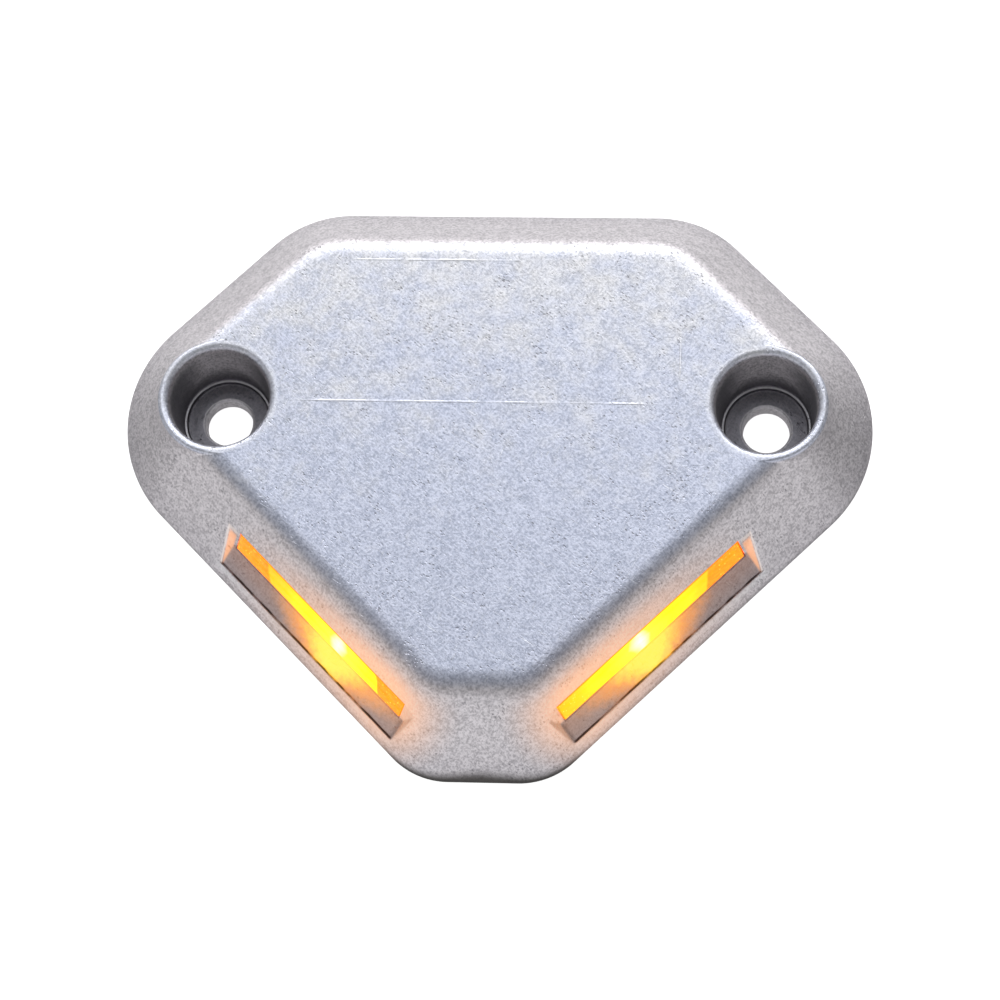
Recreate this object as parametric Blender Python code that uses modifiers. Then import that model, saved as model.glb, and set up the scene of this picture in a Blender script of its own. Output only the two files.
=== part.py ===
"""Raised pavement marker: a low die-cast road stud with two amber light windows.

Metres, +Z up. The origin is the middle of the footprint on the road, +X runs between the two
anchor bolt holes and -Y faces the traffic.
"""
import math

import bmesh
import bpy
from mathutils import Matrix, Vector

# Housing footprint: a square stood on its corner, cut off flat at the back and the front.
HALF_DIAGONAL = 0.0845
HALF_DEPTH = 0.0582
SIDE_Y = 0.0134
HEIGHT = 0.0185
BASE_RADII = {"back": 0.022, "side": 0.027, "front": 0.015}
TOP_RADII = {"back": 0.012, "side": 0.0145, "front": 0.009}

# Sloping flanks: how far each plateau edge stands in from the base edge below it.
FLANK_INSET = 0.0123
BACK_INSET = 0.0125
FRONT_INSET = 0.0140
SLOPE_FOOT = 0.0020
SHOULDER_RADIUS = 0.0060
FOOT_RUN = 0.0006
BASE_ROUNDING = 0.0008
WALL = 0.0030
CORNER_STEPS = 6
PAST = 0.001
SMALL_STEPS = 16
POST_STEPS = 24
SHOULDER_STEPS = 4

# Anchor bolt wells, for M8 bolts with plain washers.
BOLT_X = 0.05267
BOLT_Y = 0.0128
BOLT_HOLE_RADIUS = 0.0045
SEAT_Z = 0.00375
SEAT_RADIUS = 0.0080
WELL_MOUTH_RADIUS = 0.0098
RIM_RADIUS = 0.0114
MOUTH_FILLET = 0.0008
RIM_FILLET = 0.0006
RIM_FOOT_Z = 0.0080
SEAT_FILLET = (0.0004, 0.0008)
HOLE_CHAMFER = 0.0004
ROUND_STEPS = 32

# Inner space, its flat roof, and the rebate that takes the bottom cover.
ROOF_Z = HEIGHT - WALL
CAVITY_X = 0.0385
CAVITY_INSET = 0.0070
CAVITY_CORNER_SUM = 0.0425
CAVITY_RADIUS = 0.0040
CAVITY_STRAIGHT_Z = 0.0070
LEDGE_WIDTH = 0.0032
LEDGE_Z = 0.0038
ROOM = 0.0003

# Bottom cover, its gasket and its six countersunk screws.
COVER_TOP_Z = 0.0024
GASKET_TOP_Z = 0.0035
COVER_SCREWS = [(-0.0354, 0.0481), (0.0354, 0.0481), (0.0, 0.0483),
                (-0.0357, 0.0080), (0.0357, 0.0080), (0.0, -0.0483)]
POST_RADIUS = 0.0036
M3_RADIUS = 0.0015
M3_HEAD_RADIUS = 0.0028
COVER_SCREW_TOP_Z = 0.0095
COVER_TAP_TOP_Z = 0.0100
SCREW_FACE_Z = 0.0001
CROSS_LENGTH = 0.0016
CROSS_WIDTH = 0.0003
CROSS_TOP_Z = 0.0011

# Cable entry: a well pressed up into the cover, with a low gland in its floor.
GLAND_Y = 0.0330
WELL_INNER_RADIUS = 0.0095
WELL_WALL = 0.0018
WELL_FLOOR_Z = 0.0055
WELL_TOP_Z = 0.0075
GLAND_THREAD_RADIUS = 0.0042
GLAND_BORE_RADIUS = 0.0030
CABLE_HOLE_RADIUS = 0.0021
GLAND_HEAD_RADIUS = 0.0072
GLAND_HEAD_Z = 0.0012
GLAND_TOP_Z = 0.0118
NUT_RADIUS = 0.0068
NUT_TOP_Z = 0.0105
SEAL_Z = (0.0016, 0.0114)

# Light windows, one on each front flank. Along the flank, in from its base edge, and up.
WINDOW_MIDDLE = 0.0682
POCKET_HALF = 0.0244
POCKET_END_DRAFT = 1.3
POCKET_REACH = 0.0060
LIP = (0.00175, 0.0044)
LENS_FOOT = (0.0053, 0.0073)
LENS_HEAD = (0.00745, 0.0120)
SLOT_HALF = 0.0236
SLOT_LOW_Z = 0.0074
SLOT_HIGH_Z = 0.0119
LENS_GAP = 0.00015
SEAT_IN = 0.0102
FRAME_IN = 0.0128
FRAME_HALF = 0.0300
FRAME_LOW_Z = 0.0048
FRAME_HIGH_Z = 0.0145
FLANGE_HALF = 0.0245
FLANGE_LOW_Z = 0.0056
FLANGE_HIGH_Z = 0.0136
GASKET_THICKNESS = 0.0007
FLANGE_THICKNESS = 0.0012
RETAINER_HALF = 0.0275
RETAINER_THICKNESS = 0.0010
LIGHT_HALF = 0.0215
LED_BOARD_THICKNESS = 0.0012
LED_PITCH = 0.0130
LED_SIZE = (0.0035, 0.0006, 0.0028)
CLAMP_SCREW_X = 0.0255
CLAMP_SCREW_Z = 0.0096
M2_RADIUS = 0.0010
CLAMP_HOLE_IN = 0.0088
CLAMP_POINT_IN = 0.0092
CLAMP_HEAD = (0.0019, 0.0013)

# Driver board, hung under the roof on four posts.
BOARD_TOP_Z = 0.0117
BOARD_THICKNESS = 0.0016
BOARD_CORNERS = [(0.0315, 0.0190), (0.0315, -0.0115), (0.0120, -0.0310)]
BOARD_CORNER_RADIUS = 0.0015
COIL_PLACE = (0.0100, 0.0045)
BOARD_POSTS = [(-0.0275, 0.0150), (0.0275, 0.0150), (-0.0135, -0.0240), (0.0135, -0.0240)]
BOARD_POST_RADIUS = 0.0030
BOARD_HEAD = (0.0020, 0.0014)
BOARD_SCREW_TOP_Z = 0.0147

# Driver components: name, middle, half length and half width and height, finish. The round ones
# have a radius and a height.
BLOCK_PARTS = [("bridge_rectifier", (0.0190, 0.0060), (0.0042, 0.0033, 0.0026), "black"),
               ("driver_chip", (0.0010, -0.0020), (0.0039, 0.0049, 0.0016), "black"),
               ("film_capacitor", (-0.0180, 0.0020), (0.0065, 0.0030, 0.0054), "yellow"),
               ("terminal_block", (0.0, 0.0145), (0.0080, 0.0032, 0.0052), "green"),
               ("led_connector_left", (-0.0200, -0.0105), (0.0030, 0.0022, 0.0034), "white"),
               ("led_connector_right", (0.0200, -0.0105), (0.0030, 0.0022, 0.0034), "white")]
ROUND_PARTS = [("surge_disc", (0.0110, -0.0110), (0.0042, 0.0032), "blue"),
               ("smoothing_capacitor", (-0.0030, -0.0200), (0.0040, 0.0056), "black")]
BODY_BEVEL = 0.0003
TERMINAL_WAY = (0.0013, 0.0040, 0.0012)
COIL_SIZE = (0.0045, 0.0046)
COIL_WAIST = 0.0034
COIL_FLANGE = 0.0009

# Leads from the driver board's connectors to the light boards.
LEAD_RADIUS = 0.0005
LEAD_APART = 0.0009
LEAD_START = (0.0200, -0.0131, 0.0017)
LEAD_END_IN = 0.0161
LEAD_END_SHORT = 0.0040
LEAD_END_Z = 0.0075
LEAD_SAG = 0.0012
LEAD_STEPS = 12

ROOT2 = math.sqrt(2.0)
PARTS = "raised_pavement_marker"
CUTTERS = "cutters"


def clear_scene():
    """Remove whatever the open file holds and make the two collections."""
    for item in list(bpy.data.objects):
        bpy.data.objects.remove(item, do_unlink=True)
    for name in (PARTS, CUTTERS):
        if name not in bpy.data.collections:
            bpy.context.scene.collection.children.link(bpy.data.collections.new(name))


def material(name, colour, metallic, roughness):
    """One plain Principled material."""
    made = bpy.data.materials.new(name)
    made.use_nodes = True
    shader = made.node_tree.nodes["Principled BSDF"]
    shader.inputs["Base Color"].default_value = (*colour, 1.0)
    shader.inputs["Metallic"].default_value = metallic
    shader.inputs["Roughness"].default_value = roughness
    return made


def place(name, data, collection=CUTTERS, finish=None, parent=None):
    """Put mesh or curve data in the scene as an object, as a part or as a cutter."""
    made = bpy.data.objects.new(name, data)
    bpy.data.collections[collection].objects.link(made)
    made.parent = parent
    if finish:
        data.materials.clear()
        data.materials.append(finish)
    if collection == CUTTERS:
        made.hide_render = True
        made.display_type = "WIRE"
    return made


def as_part(tool, finish):
    """Move an object from the cutters to the parts and give it its material."""
    bpy.data.collections[CUTTERS].objects.unlink(tool)
    bpy.data.collections[PARTS].objects.link(tool)
    tool.hide_render = False
    tool.display_type = "TEXTURED"
    tool.data.materials.append(finish)
    return tool


def mesh_from(bm, name, smooth=False):
    """Finish a bmesh as mesh data with outward faces."""
    bmesh.ops.recalc_face_normals(bm, faces=bm.faces)
    data = bpy.data.meshes.new(name)
    bm.to_mesh(data)
    bm.free()
    if smooth:
        data.shade_smooth()
        data.set_sharp_from_angle(angle=math.radians(40.0))
    return data


def block(name, low, high, parent=None):
    """A box between two corners."""
    bm = bmesh.new()
    bmesh.ops.create_cube(bm, size=1.0)
    size = Vector(high) - Vector(low)
    bmesh.ops.scale(bm, vec=size, verts=bm.verts)
    bmesh.ops.translate(bm, vec=(Vector(low) + Vector(high)) / 2.0, verts=bm.verts)
    return place(name, mesh_from(bm, name), parent=parent)


def drum(name, radius, z_low, z_high, x=0.0, y=0.0, top_radius=None, sides=ROUND_STEPS):
    """An upright cylinder or cone between two heights."""
    bm = bmesh.new()
    top = radius if top_radius is None else top_radius
    bmesh.ops.create_cone(bm, cap_ends=True, segments=sides, radius1=radius, radius2=top,
                          depth=z_high - z_low)
    bmesh.ops.translate(bm, vec=(x, y, (z_low + z_high) / 2.0), verts=bm.verts)
    return place(name, mesh_from(bm, name, smooth=True))


def turned(name, profile, x, y, steps=ROUND_STEPS):
    """A turned shape: the profile, (radius, height) from top to bottom, spun about the upright axis."""
    bm = bmesh.new()
    points = [bm.verts.new((radius, 0.0, z)) for radius, z in profile]
    for upper, lower in zip(points, points[1:]):
        bm.edges.new((upper, lower))
    data = bpy.data.meshes.new(name)
    bm.to_mesh(data)
    bm.free()
    made = place(name, data)
    made.location = (x, y, 0.0)
    screw = made.modifiers.new("spin", "SCREW")
    screw.steps = steps
    screw.render_steps = steps
    screw.use_merge_vertices = True
    screw.merge_threshold = 0.00001
    return made


def hull(name, points, parent=None):
    """The convex solid around a handful of points."""
    bm = bmesh.new()
    for point in points:
        bm.verts.new(point)
    bmesh.ops.convex_hull(bm, input=bm.verts)
    return place(name, mesh_from(bm, name), parent=parent)


def loft(name, rings):
    """A solid skinned through rings of equal point count, lowest ring first."""
    bm = bmesh.new()
    made = [[bm.verts.new(point) for point in ring] for ring in rings]
    count = len(rings[0])
    for lower, upper in zip(made, made[1:]):
        for i in range(count):
            j = (i + 1) % count
            bm.faces.new((lower[i], lower[j], upper[j], upper[i]))
    bm.faces.new(list(reversed(made[0])))
    bm.faces.new(made[-1])
    return place(name, mesh_from(bm, name, smooth=True))


def plate(name, outline, z_low, z_high):
    """A flat sheet of the given outline, drawn as a filled 2D curve and made a mesh."""
    data = bpy.data.curves.new(name, "CURVE")
    data.dimensions = "2D"
    data.fill_mode = "BOTH"
    data.extrude = (z_high - z_low) / 2.0
    spline = data.splines.new("POLY")
    spline.points.add(len(outline) - 1)
    for point, (x, y) in zip(spline.points, outline):
        point.co = (x, y, 0.0, 1.0)
    spline.use_cyclic_u = True
    guide = place(name + "_outline", data)
    guide.location.z = (z_low + z_high) / 2.0
    bpy.context.view_layer.update()
    solid = bpy.data.meshes.new_from_object(guide.evaluated_get(bpy.context.evaluated_depsgraph_get()))
    bm = bmesh.new()
    bm.from_mesh(solid)
    bmesh.ops.remove_doubles(bm, verts=bm.verts, dist=0.000001)
    bmesh.ops.transform(bm, matrix=guide.matrix_world, verts=bm.verts)
    bpy.data.objects.remove(guide, do_unlink=True)
    bpy.data.meshes.remove(solid)
    return place(name, mesh_from(bm, name))


def combine(target, tool, operation):
    """Cut a tool from a target, or join it on, with an exact boolean."""
    step = target.modifiers.new(tool.name, "BOOLEAN")
    step.operation = operation
    step.solver = "EXACT"
    step.object = tool
    return target


def cut(target, *tools):
    """Take tools away from the target."""
    for tool in tools:
        combine(target, tool, "DIFFERENCE")
    return target


def join(target, *tools):
    """Weld tools onto the target."""
    for tool in tools:
        combine(target, tool, "UNION")
    return target


def rounded(corners, steps=CORNER_STEPS):
    """Outline points of a polygon, (x, y, radius) corners, with each corner turned to an arc."""
    points = []
    for index, (x, y, radius) in enumerate(corners):
        here = Vector((x, y))
        back = (Vector(corners[index - 1][:2]) - here).normalized()
        ahead = (Vector(corners[(index + 1) % len(corners)][:2]) - here).normalized()
        half = back.angle(ahead) / 2.0
        centre = here + (back + ahead).normalized() * radius / math.sin(half)
        start = here + back * radius / math.tan(half) - centre
        sweep = start.angle_signed(here + ahead * radius / math.tan(half) - centre)
        for step in range(steps + 1):
            turn = -sweep * step / steps
            points.append((centre.x + start.x * math.cos(turn) - start.y * math.sin(turn),
                           centre.y + start.x * math.sin(turn) + start.y * math.cos(turn)))
    return points


def mirrored(right_side):
    """The full ring of corners from its right-hand half, listed from the back to the front."""
    return right_side + [(-x, y, radius) for x, y, radius in reversed(right_side)]


def housing_outline(inset):
    """Outer outline of the housing where its flanks stand in by inset from the base edge."""
    share = inset / FLANK_INSET
    back_y = HALF_DEPTH - BACK_INSET * share
    front_y = -HALF_DEPTH + FRONT_INSET * share
    diagonal = HALF_DIAGONAL - inset * ROOT2
    radii = {key: BASE_RADII[key] + (TOP_RADII[key] - BASE_RADII[key]) * share for key in BASE_RADII}
    return rounded(mirrored([(diagonal - (back_y - SIDE_Y), back_y, radii["back"]),
                             (diagonal, SIDE_Y, radii["side"]),
                             (diagonal - (SIDE_Y - front_y), front_y, radii["front"])]))


def housing_profile():
    """(inset, height) down the housing's side: rounded foot, short land, slope, round shoulder."""
    rise = (HEIGHT - SLOPE_FOOT) / FLANK_INSET
    lean = math.atan(rise)
    foot = [(BASE_ROUNDING, 0.0), (BASE_ROUNDING * 0.3, BASE_ROUNDING * 0.3), (0.0, BASE_ROUNDING),
            (0.0, SLOPE_FOOT * 0.75), (FOOT_RUN * 0.25, SLOPE_FOOT * 1.05),
            (FOOT_RUN, SLOPE_FOOT + FOOT_RUN * rise)]
    centre_in = FLANK_INSET + SHOULDER_RADIUS * math.tan(lean / 2.0)
    shoulder = []
    for step in range(SHOULDER_STEPS + 1):
        angle = lean * (1.0 - step / SHOULDER_STEPS)
        shoulder.append((centre_in - SHOULDER_RADIUS * math.sin(angle),
                         HEIGHT - SHOULDER_RADIUS + SHOULDER_RADIUS * math.cos(angle)))
    return foot + shoulder


def cavity_outline(inset, grow=0.0):
    """Outline of the inner space: it follows the outside, and steps in round the bolt wells."""
    back_y = HALF_DEPTH - inset + grow
    front_y = -HALF_DEPTH + inset - grow
    side_x = CAVITY_X + grow
    flank = HALF_DIAGONAL - inset * ROOT2 + grow * ROOT2
    corner_sum = CAVITY_CORNER_SUM + grow * ROOT2
    waist_x = (flank - SIDE_Y + corner_sum) / 2.0
    radius = CAVITY_RADIUS + grow
    return rounded(mirrored([(side_x, back_y, radius),
                             (side_x, corner_sum - side_x, CAVITY_RADIUS - grow),
                             (waist_x, corner_sum - waist_x, radius),
                             (flank - SIDE_Y + front_y, front_y, radius)]), steps=4)


def level(outline, z):
    """Lift a flat outline to a height."""
    return [(x, y, z) for x, y in outline]


def roof_inset():
    """How far the inner wall stands in at the roof, to keep the wall's thickness on the slope."""
    run = FLANK_INSET * (ROOF_Z - SLOPE_FOOT) / (HEIGHT - SLOPE_FOOT)
    lean = math.atan((HEIGHT - SLOPE_FOOT) / FLANK_INSET)
    return run + WALL / math.sin(lean)


def bolt_well(side):
    """The space of one anchor bolt: fillet at the mouth, drafted wall, washer seat, bolt hole."""
    mouth = WELL_MOUTH_RADIUS
    lip = mouth + MOUTH_FILLET
    above = HEIGHT + 2.0 * PAST
    profile = [(0.0, above), (lip, above), (lip, HEIGHT),
               (mouth + MOUTH_FILLET * 0.3, HEIGHT - MOUTH_FILLET * 0.3), (mouth, HEIGHT - MOUTH_FILLET),
               (SEAT_RADIUS + SEAT_FILLET[0], SEAT_Z + SEAT_FILLET[1]), (SEAT_RADIUS, SEAT_Z),
               (BOLT_HOLE_RADIUS + HOLE_CHAMFER, SEAT_Z), (BOLT_HOLE_RADIUS, SEAT_Z - HOLE_CHAMFER),
               (BOLT_HOLE_RADIUS, -PAST), (0.0, -PAST)]
    return turned("bolt_well", profile, side * BOLT_X, BOLT_Y)


def flank_empty(side, name):
    """The frame of one light window: X along the flank, Y in from its base edge, Z up."""
    empty = bpy.data.objects.new("window_" + name, None)
    bpy.data.collections[PARTS].objects.link(empty)
    reach = WINDOW_MIDDLE / ROOT2
    empty.location = (side * (HALF_DIAGONAL - reach), SIDE_Y - reach, 0.0)
    empty.rotation_euler.z = side * math.radians(45.0)
    return empty


def cavity_tool(empties):
    """The inner space as a solid, less the posts and window frames that stay standing in it."""
    ledge = cavity_outline(CAVITY_INSET)
    top = cavity_outline(roof_inset())
    space = loft("cavity", [level(ledge, LEDGE_Z - PAST), level(ledge, CAVITY_STRAIGHT_Z),
                            level(top, ROOF_Z)])
    for x, y in COVER_SCREWS:
        cut(space, drum("cover_post", POST_RADIUS, 0.0, HEIGHT, x, y, sides=POST_STEPS))
    for x, y in BOARD_POSTS:
        cut(space, drum("board_post", BOARD_POST_RADIUS, BOARD_TOP_Z + ROOM, HEIGHT, x, y,
                        sides=POST_STEPS))
    for empty in empties:
        cut(space, block("window_frame", (-FRAME_HALF, 0.0, FRAME_LOW_Z),
                         (FRAME_HALF, FRAME_IN, FRAME_HIGH_Z), empty))
    return space


def window_tools(empty):
    """The cuts of one window: outer pocket, slot through the wall, inner seat, clamp screw holes."""
    lean = math.atan2(HEIGHT - SLOPE_FOOT, FLANK_INSET)
    out = (-POCKET_REACH * math.sin(lean), POCKET_REACH * math.cos(lean))
    points = []
    for sign in (-1.0, 1.0):
        for inward, z in (LIP, LENS_FOOT, LENS_HEAD):
            points.append((sign * POCKET_HALF, inward, z))
        for inward, z in (LIP, LENS_HEAD):
            wide = POCKET_HALF + POCKET_REACH * POCKET_END_DRAFT
            points.append((sign * wide, inward + out[0], z + out[1]))
    tools = [hull("pocket", points, empty),
             block("slot", (-SLOT_HALF, LENS_FOOT[0] - PAST, SLOT_LOW_Z),
                   (SLOT_HALF, FRAME_IN, SLOT_HIGH_Z), empty),
             block("lens_seat", (-FLANGE_HALF - ROOM, SEAT_IN, FLANGE_LOW_Z - ROOM),
                   (FLANGE_HALF + ROOM, FRAME_IN + PAST, FLANGE_HIGH_Z + ROOM), empty)]
    for sign in (-1.0, 1.0):
        tools.append(clamp_cylinder("clamp_hole", M2_RADIUS + ROOM, CLAMP_HOLE_IN, FRAME_IN + PAST, sign,
                                    empty))
    return tools


def clamp_cylinder(name, radius, start, end, sign, parent, sides=SMALL_STEPS):
    """A cylinder along the window frame's Y, at one of its two clamp screws."""
    tool = drum(name, radius, start, end, sides=sides)
    tool.data.transform(upright_to_inward(sign))
    tool.parent = parent
    return tool


def upright_to_inward(sign):
    """Matrix that lays the Z axis along Y and moves it to a clamp screw's place."""
    return Matrix.Translation((sign * CLAMP_SCREW_X, 0.0, CLAMP_SCREW_Z)) @ Matrix.Rotation(
        -math.pi / 2.0, 4, "X")


def make_housing(empties, finish):
    """Die-cast shell: outer loft with raised bolt rims, hollowed and cut."""
    shell = loft("housing", [level(housing_outline(inset), z) for inset, z in housing_profile()])
    for side in (-1.0, 1.0):
        rim = [(0.0, HEIGHT), (RIM_RADIUS - RIM_FILLET, HEIGHT),
               (RIM_RADIUS - RIM_FILLET * 0.3, HEIGHT - RIM_FILLET * 0.3),
               (RIM_RADIUS, HEIGHT - RIM_FILLET), (RIM_RADIUS, RIM_FOOT_Z), (0.0, RIM_FOOT_Z)]
        join(shell, turned("bolt_rim", rim, side * BOLT_X, BOLT_Y))
    cut(shell, cavity_tool(empties))
    rebate = cavity_outline(CAVITY_INSET, LEDGE_WIDTH)
    cut(shell, plate("cover_rebate", rebate, -PAST, LEDGE_Z))
    for side in (-1.0, 1.0):
        cut(shell, bolt_well(side))
    for empty in empties:
        cut(shell, *window_tools(empty))
    for x, y in COVER_SCREWS:
        cut(shell, drum("cover_tap", M3_RADIUS + ROOM, 0.0, COVER_TAP_TOP_Z, x, y, sides=SMALL_STEPS))
    for x, y in BOARD_POSTS:
        cut(shell, drum("board_tap", M2_RADIUS + ROOM, 0.0, ROOF_Z, x, y, sides=SMALL_STEPS))
    return as_part(shell, finish)


def make_cover(finish):
    """Bottom plate with its cable well and countersunk screw holes, flush with the underside."""
    outline = cavity_outline(CAVITY_INSET, LEDGE_WIDTH - ROOM)
    cover = plate("base_cover", outline, 0.0, COVER_TOP_Z)
    join(cover, drum("well_wall", WELL_INNER_RADIUS + WELL_WALL, PAST, WELL_TOP_Z, 0.0, GLAND_Y))
    cut(cover, drum("well_room", WELL_INNER_RADIUS, -PAST, WELL_FLOOR_Z, 0.0, GLAND_Y),
        drum("gland_hole", GLAND_THREAD_RADIUS + ROOM, 0.0, WELL_TOP_Z + PAST, 0.0, GLAND_Y))
    for x, y in COVER_SCREWS:
        profile = countersunk_profile(ROOM, -PAST, COVER_TOP_Z + PAST)
        cut(cover, turned("countersink", profile, x, y, SMALL_STEPS))
    return as_part(cover, finish)


def countersunk_profile(grow, face_z, z_high):
    """Half profile of a countersunk screw or its clearance cut: shank end, cone, head down to face_z."""
    neck_z = M3_HEAD_RADIUS - M3_RADIUS + ROOM
    return [(0.0, z_high), (M3_RADIUS + grow, z_high), (M3_RADIUS + grow, neck_z),
            (M3_HEAD_RADIUS + grow, ROOM), (M3_HEAD_RADIUS + grow, face_z), (0.0, face_z)]


def make_cover_screws(finish):
    """Six countersunk cover screws, each with a cross recess."""
    for number, (x, y) in enumerate(COVER_SCREWS, 1):
        profile = countersunk_profile(0.0, SCREW_FACE_Z, COVER_SCREW_TOP_Z)
        screw = turned(f"cover_screw_{number}", profile, x, y, SMALL_STEPS)
        for turn, (half_x, half_y) in enumerate(((CROSS_LENGTH, CROSS_WIDTH), (CROSS_WIDTH, CROSS_LENGTH))):
            cut(screw, block(f"cross_{turn}", (x - half_x, y - half_y, -PAST),
                             (x + half_x, y + half_y, CROSS_TOP_Z)))
        as_part(screw, finish)


def make_cover_gasket(finish):
    """Flat silicone ring between the cover and the ledge, with an eye round each screw."""
    low = COVER_TOP_Z + ROOM
    ring = plate("base_gasket", cavity_outline(CAVITY_INSET, LEDGE_WIDTH - ROOM), low, GASKET_TOP_Z)
    hole = plate("gasket_hole", cavity_outline(CAVITY_INSET), low - PAST, GASKET_TOP_Z + PAST)
    for x, y in COVER_SCREWS:
        cut(hole, drum("gasket_eye", POST_RADIUS, 0.0, HEIGHT, x, y, sides=POST_STEPS))
    cut(ring, hole)
    for x, y in COVER_SCREWS:
        cut(ring, drum("gasket_tap", M3_RADIUS + ROOM, 0.0, HEIGHT, x, y, sides=SMALL_STEPS))
    return as_part(ring, finish)


def make_gland(brass, rubber):
    """Low cable gland: hex-headed body from below, lock nut above, rubber seal in its bore."""
    head_top = WELL_FLOOR_Z - ROOM
    body = drum("cable_gland_body", GLAND_HEAD_RADIUS, GLAND_HEAD_Z, head_top, 0.0, GLAND_Y, sides=6)
    join(body, drum("gland_thread", GLAND_THREAD_RADIUS, head_top - PAST, GLAND_TOP_Z, 0.0, GLAND_Y))
    cut(body, drum("gland_bore", GLAND_BORE_RADIUS, 0.0, GLAND_TOP_Z + PAST, 0.0, GLAND_Y))
    as_part(body, brass)
    nut = drum("cable_gland_nut", NUT_RADIUS, WELL_TOP_Z + ROOM, NUT_TOP_Z, 0.0, GLAND_Y, sides=6)
    cut(nut, drum("nut_bore", GLAND_THREAD_RADIUS + ROOM, 0.0, GLAND_TOP_Z, 0.0, GLAND_Y))
    as_part(nut, brass)
    seal = drum("cable_gland_seal", GLAND_BORE_RADIUS - ROOM, *SEAL_Z, 0.0, GLAND_Y)
    cut(seal, drum("cable_hole", CABLE_HOLE_RADIUS, 0.0, GLAND_TOP_Z, 0.0, GLAND_Y))
    as_part(seal, rubber)


def make_lens(name, empty, finish):
    """Amber light bar: a neck that fills the slot, its face leaning back, on a wider flange."""
    half = SLOT_HALF - LENS_GAP
    low = SLOT_LOW_Z + LENS_GAP
    high = SLOT_HIGH_Z - LENS_GAP
    run = (LENS_HEAD[0] - LENS_FOOT[0]) / (LENS_HEAD[1] - LENS_FOOT[1])
    flange_in = SEAT_IN + GASKET_THICKNESS + 2.0 * ROOM
    points = []
    for sign in (-1.0, 1.0):
        for z in (low, high):
            points.append((sign * half, LENS_FOOT[0] + (z - LENS_FOOT[1]) * run, z))
            points.append((sign * half, flange_in + FLANGE_THICKNESS * 0.5, z))
    lens = hull(name, points, empty)
    join(lens, block("lens_flange", (-FLANGE_HALF, flange_in, FLANGE_LOW_Z),
                     (FLANGE_HALF, flange_in + FLANGE_THICKNESS, FLANGE_HIGH_Z), empty))
    return as_part(lens, finish)


def framed_plate(name, empty, half, low, high, start, end, hole, finish):
    """An upright plate in a window with one rectangular hole, (half length, low, high)."""
    made = block(name, (-half, start, low), (half, end, high), empty)
    half_hole, hole_low, hole_high = hole
    cut(made, block(name + "_hole", (-half_hole, start - PAST, hole_low), (half_hole, end + PAST, hole_high),
                    empty))
    return as_part(made, finish)


def make_window(side_name, empty, finishes):
    """Everything clamped in one window, from the seat inwards: gasket, lens, retainer, light board."""
    gasket_in = SEAT_IN + ROOM
    framed_plate("lens_gasket_" + side_name, empty, FLANGE_HALF, FLANGE_LOW_Z, FLANGE_HIGH_Z,
                 gasket_in, gasket_in + GASKET_THICKNESS, (SLOT_HALF, SLOT_LOW_Z, SLOT_HIGH_Z),
                 finishes["rubber"])
    make_lens("lens_" + side_name, empty, finishes["lens"])
    retainer_in = FRAME_IN + ROOM
    retainer = framed_plate("lens_retainer_" + side_name, empty, RETAINER_HALF, FLANGE_LOW_Z, FLANGE_HIGH_Z,
                            retainer_in, retainer_in + RETAINER_THICKNESS,
                            (LIGHT_HALF, SLOT_LOW_Z, SLOT_HIGH_Z), finishes["steel"])
    board_in = retainer_in + RETAINER_THICKNESS + ROOM
    board_back = board_in + LED_BOARD_THICKNESS
    board = as_part(block("led_board_" + side_name, (-RETAINER_HALF, board_in, FLANGE_LOW_Z),
                          (RETAINER_HALF, board_back, FLANGE_HIGH_Z), empty), finishes["white_board"])
    for number, sign in enumerate((-1.0, 1.0), 1):
        cut(retainer, clamp_cylinder("retainer_eye", M2_RADIUS + ROOM, 0.0, board_back, sign, empty))
        cut(board, clamp_cylinder("board_eye", M2_RADIUS + ROOM, 0.0, board_back + PAST, sign, empty))
        head_in = board_back + ROOM
        screw = clamp_cylinder(f"clamp_screw_{side_name}_{number}", M2_RADIUS, CLAMP_POINT_IN,
                               head_in + CLAMP_HEAD[1] * 0.2, sign, empty)
        join(screw, clamp_cylinder("clamp_head", CLAMP_HEAD[0], head_in, head_in + CLAMP_HEAD[1], sign,
                                   empty))
        as_part(screw, finishes["steel"])
    for number, step in enumerate((-1.0, 0.0, 1.0), 1):
        width, depth, height = LED_SIZE
        middle = step * LED_PITCH
        as_part(block(f"led_{side_name}_{number}", (middle - width / 2.0, board_in - ROOM - depth,
                      CLAMP_SCREW_Z - height / 2.0), (middle + width / 2.0, board_in - ROOM,
                      CLAMP_SCREW_Z + height / 2.0), empty), finishes["led"])


def make_board(finishes):
    """Driver board with four mounting screws, and the components on its lower face."""
    low = BOARD_TOP_Z - BOARD_THICKNESS
    corners = mirrored([(x, y, BOARD_CORNER_RADIUS) for x, y in BOARD_CORNERS])
    board = plate("driver_board", rounded(corners, steps=3), low, BOARD_TOP_Z)
    for number, (x, y) in enumerate(BOARD_POSTS, 1):
        cut(board, drum("board_hole", M2_RADIUS + ROOM, 0.0, HEIGHT, x, y, sides=SMALL_STEPS))
        head_top = low - ROOM
        radius, height = BOARD_HEAD
        screw = drum(f"board_screw_{number}", M2_RADIUS, head_top - height * 0.2, BOARD_SCREW_TOP_Z, x, y,
                     sides=SMALL_STEPS)
        join(screw, drum("board_head", radius, head_top - height, head_top, x, y, sides=POST_STEPS))
        as_part(screw, finishes["steel"])
    as_part(board, finishes["green_board"])
    return low - ROOM


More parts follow.
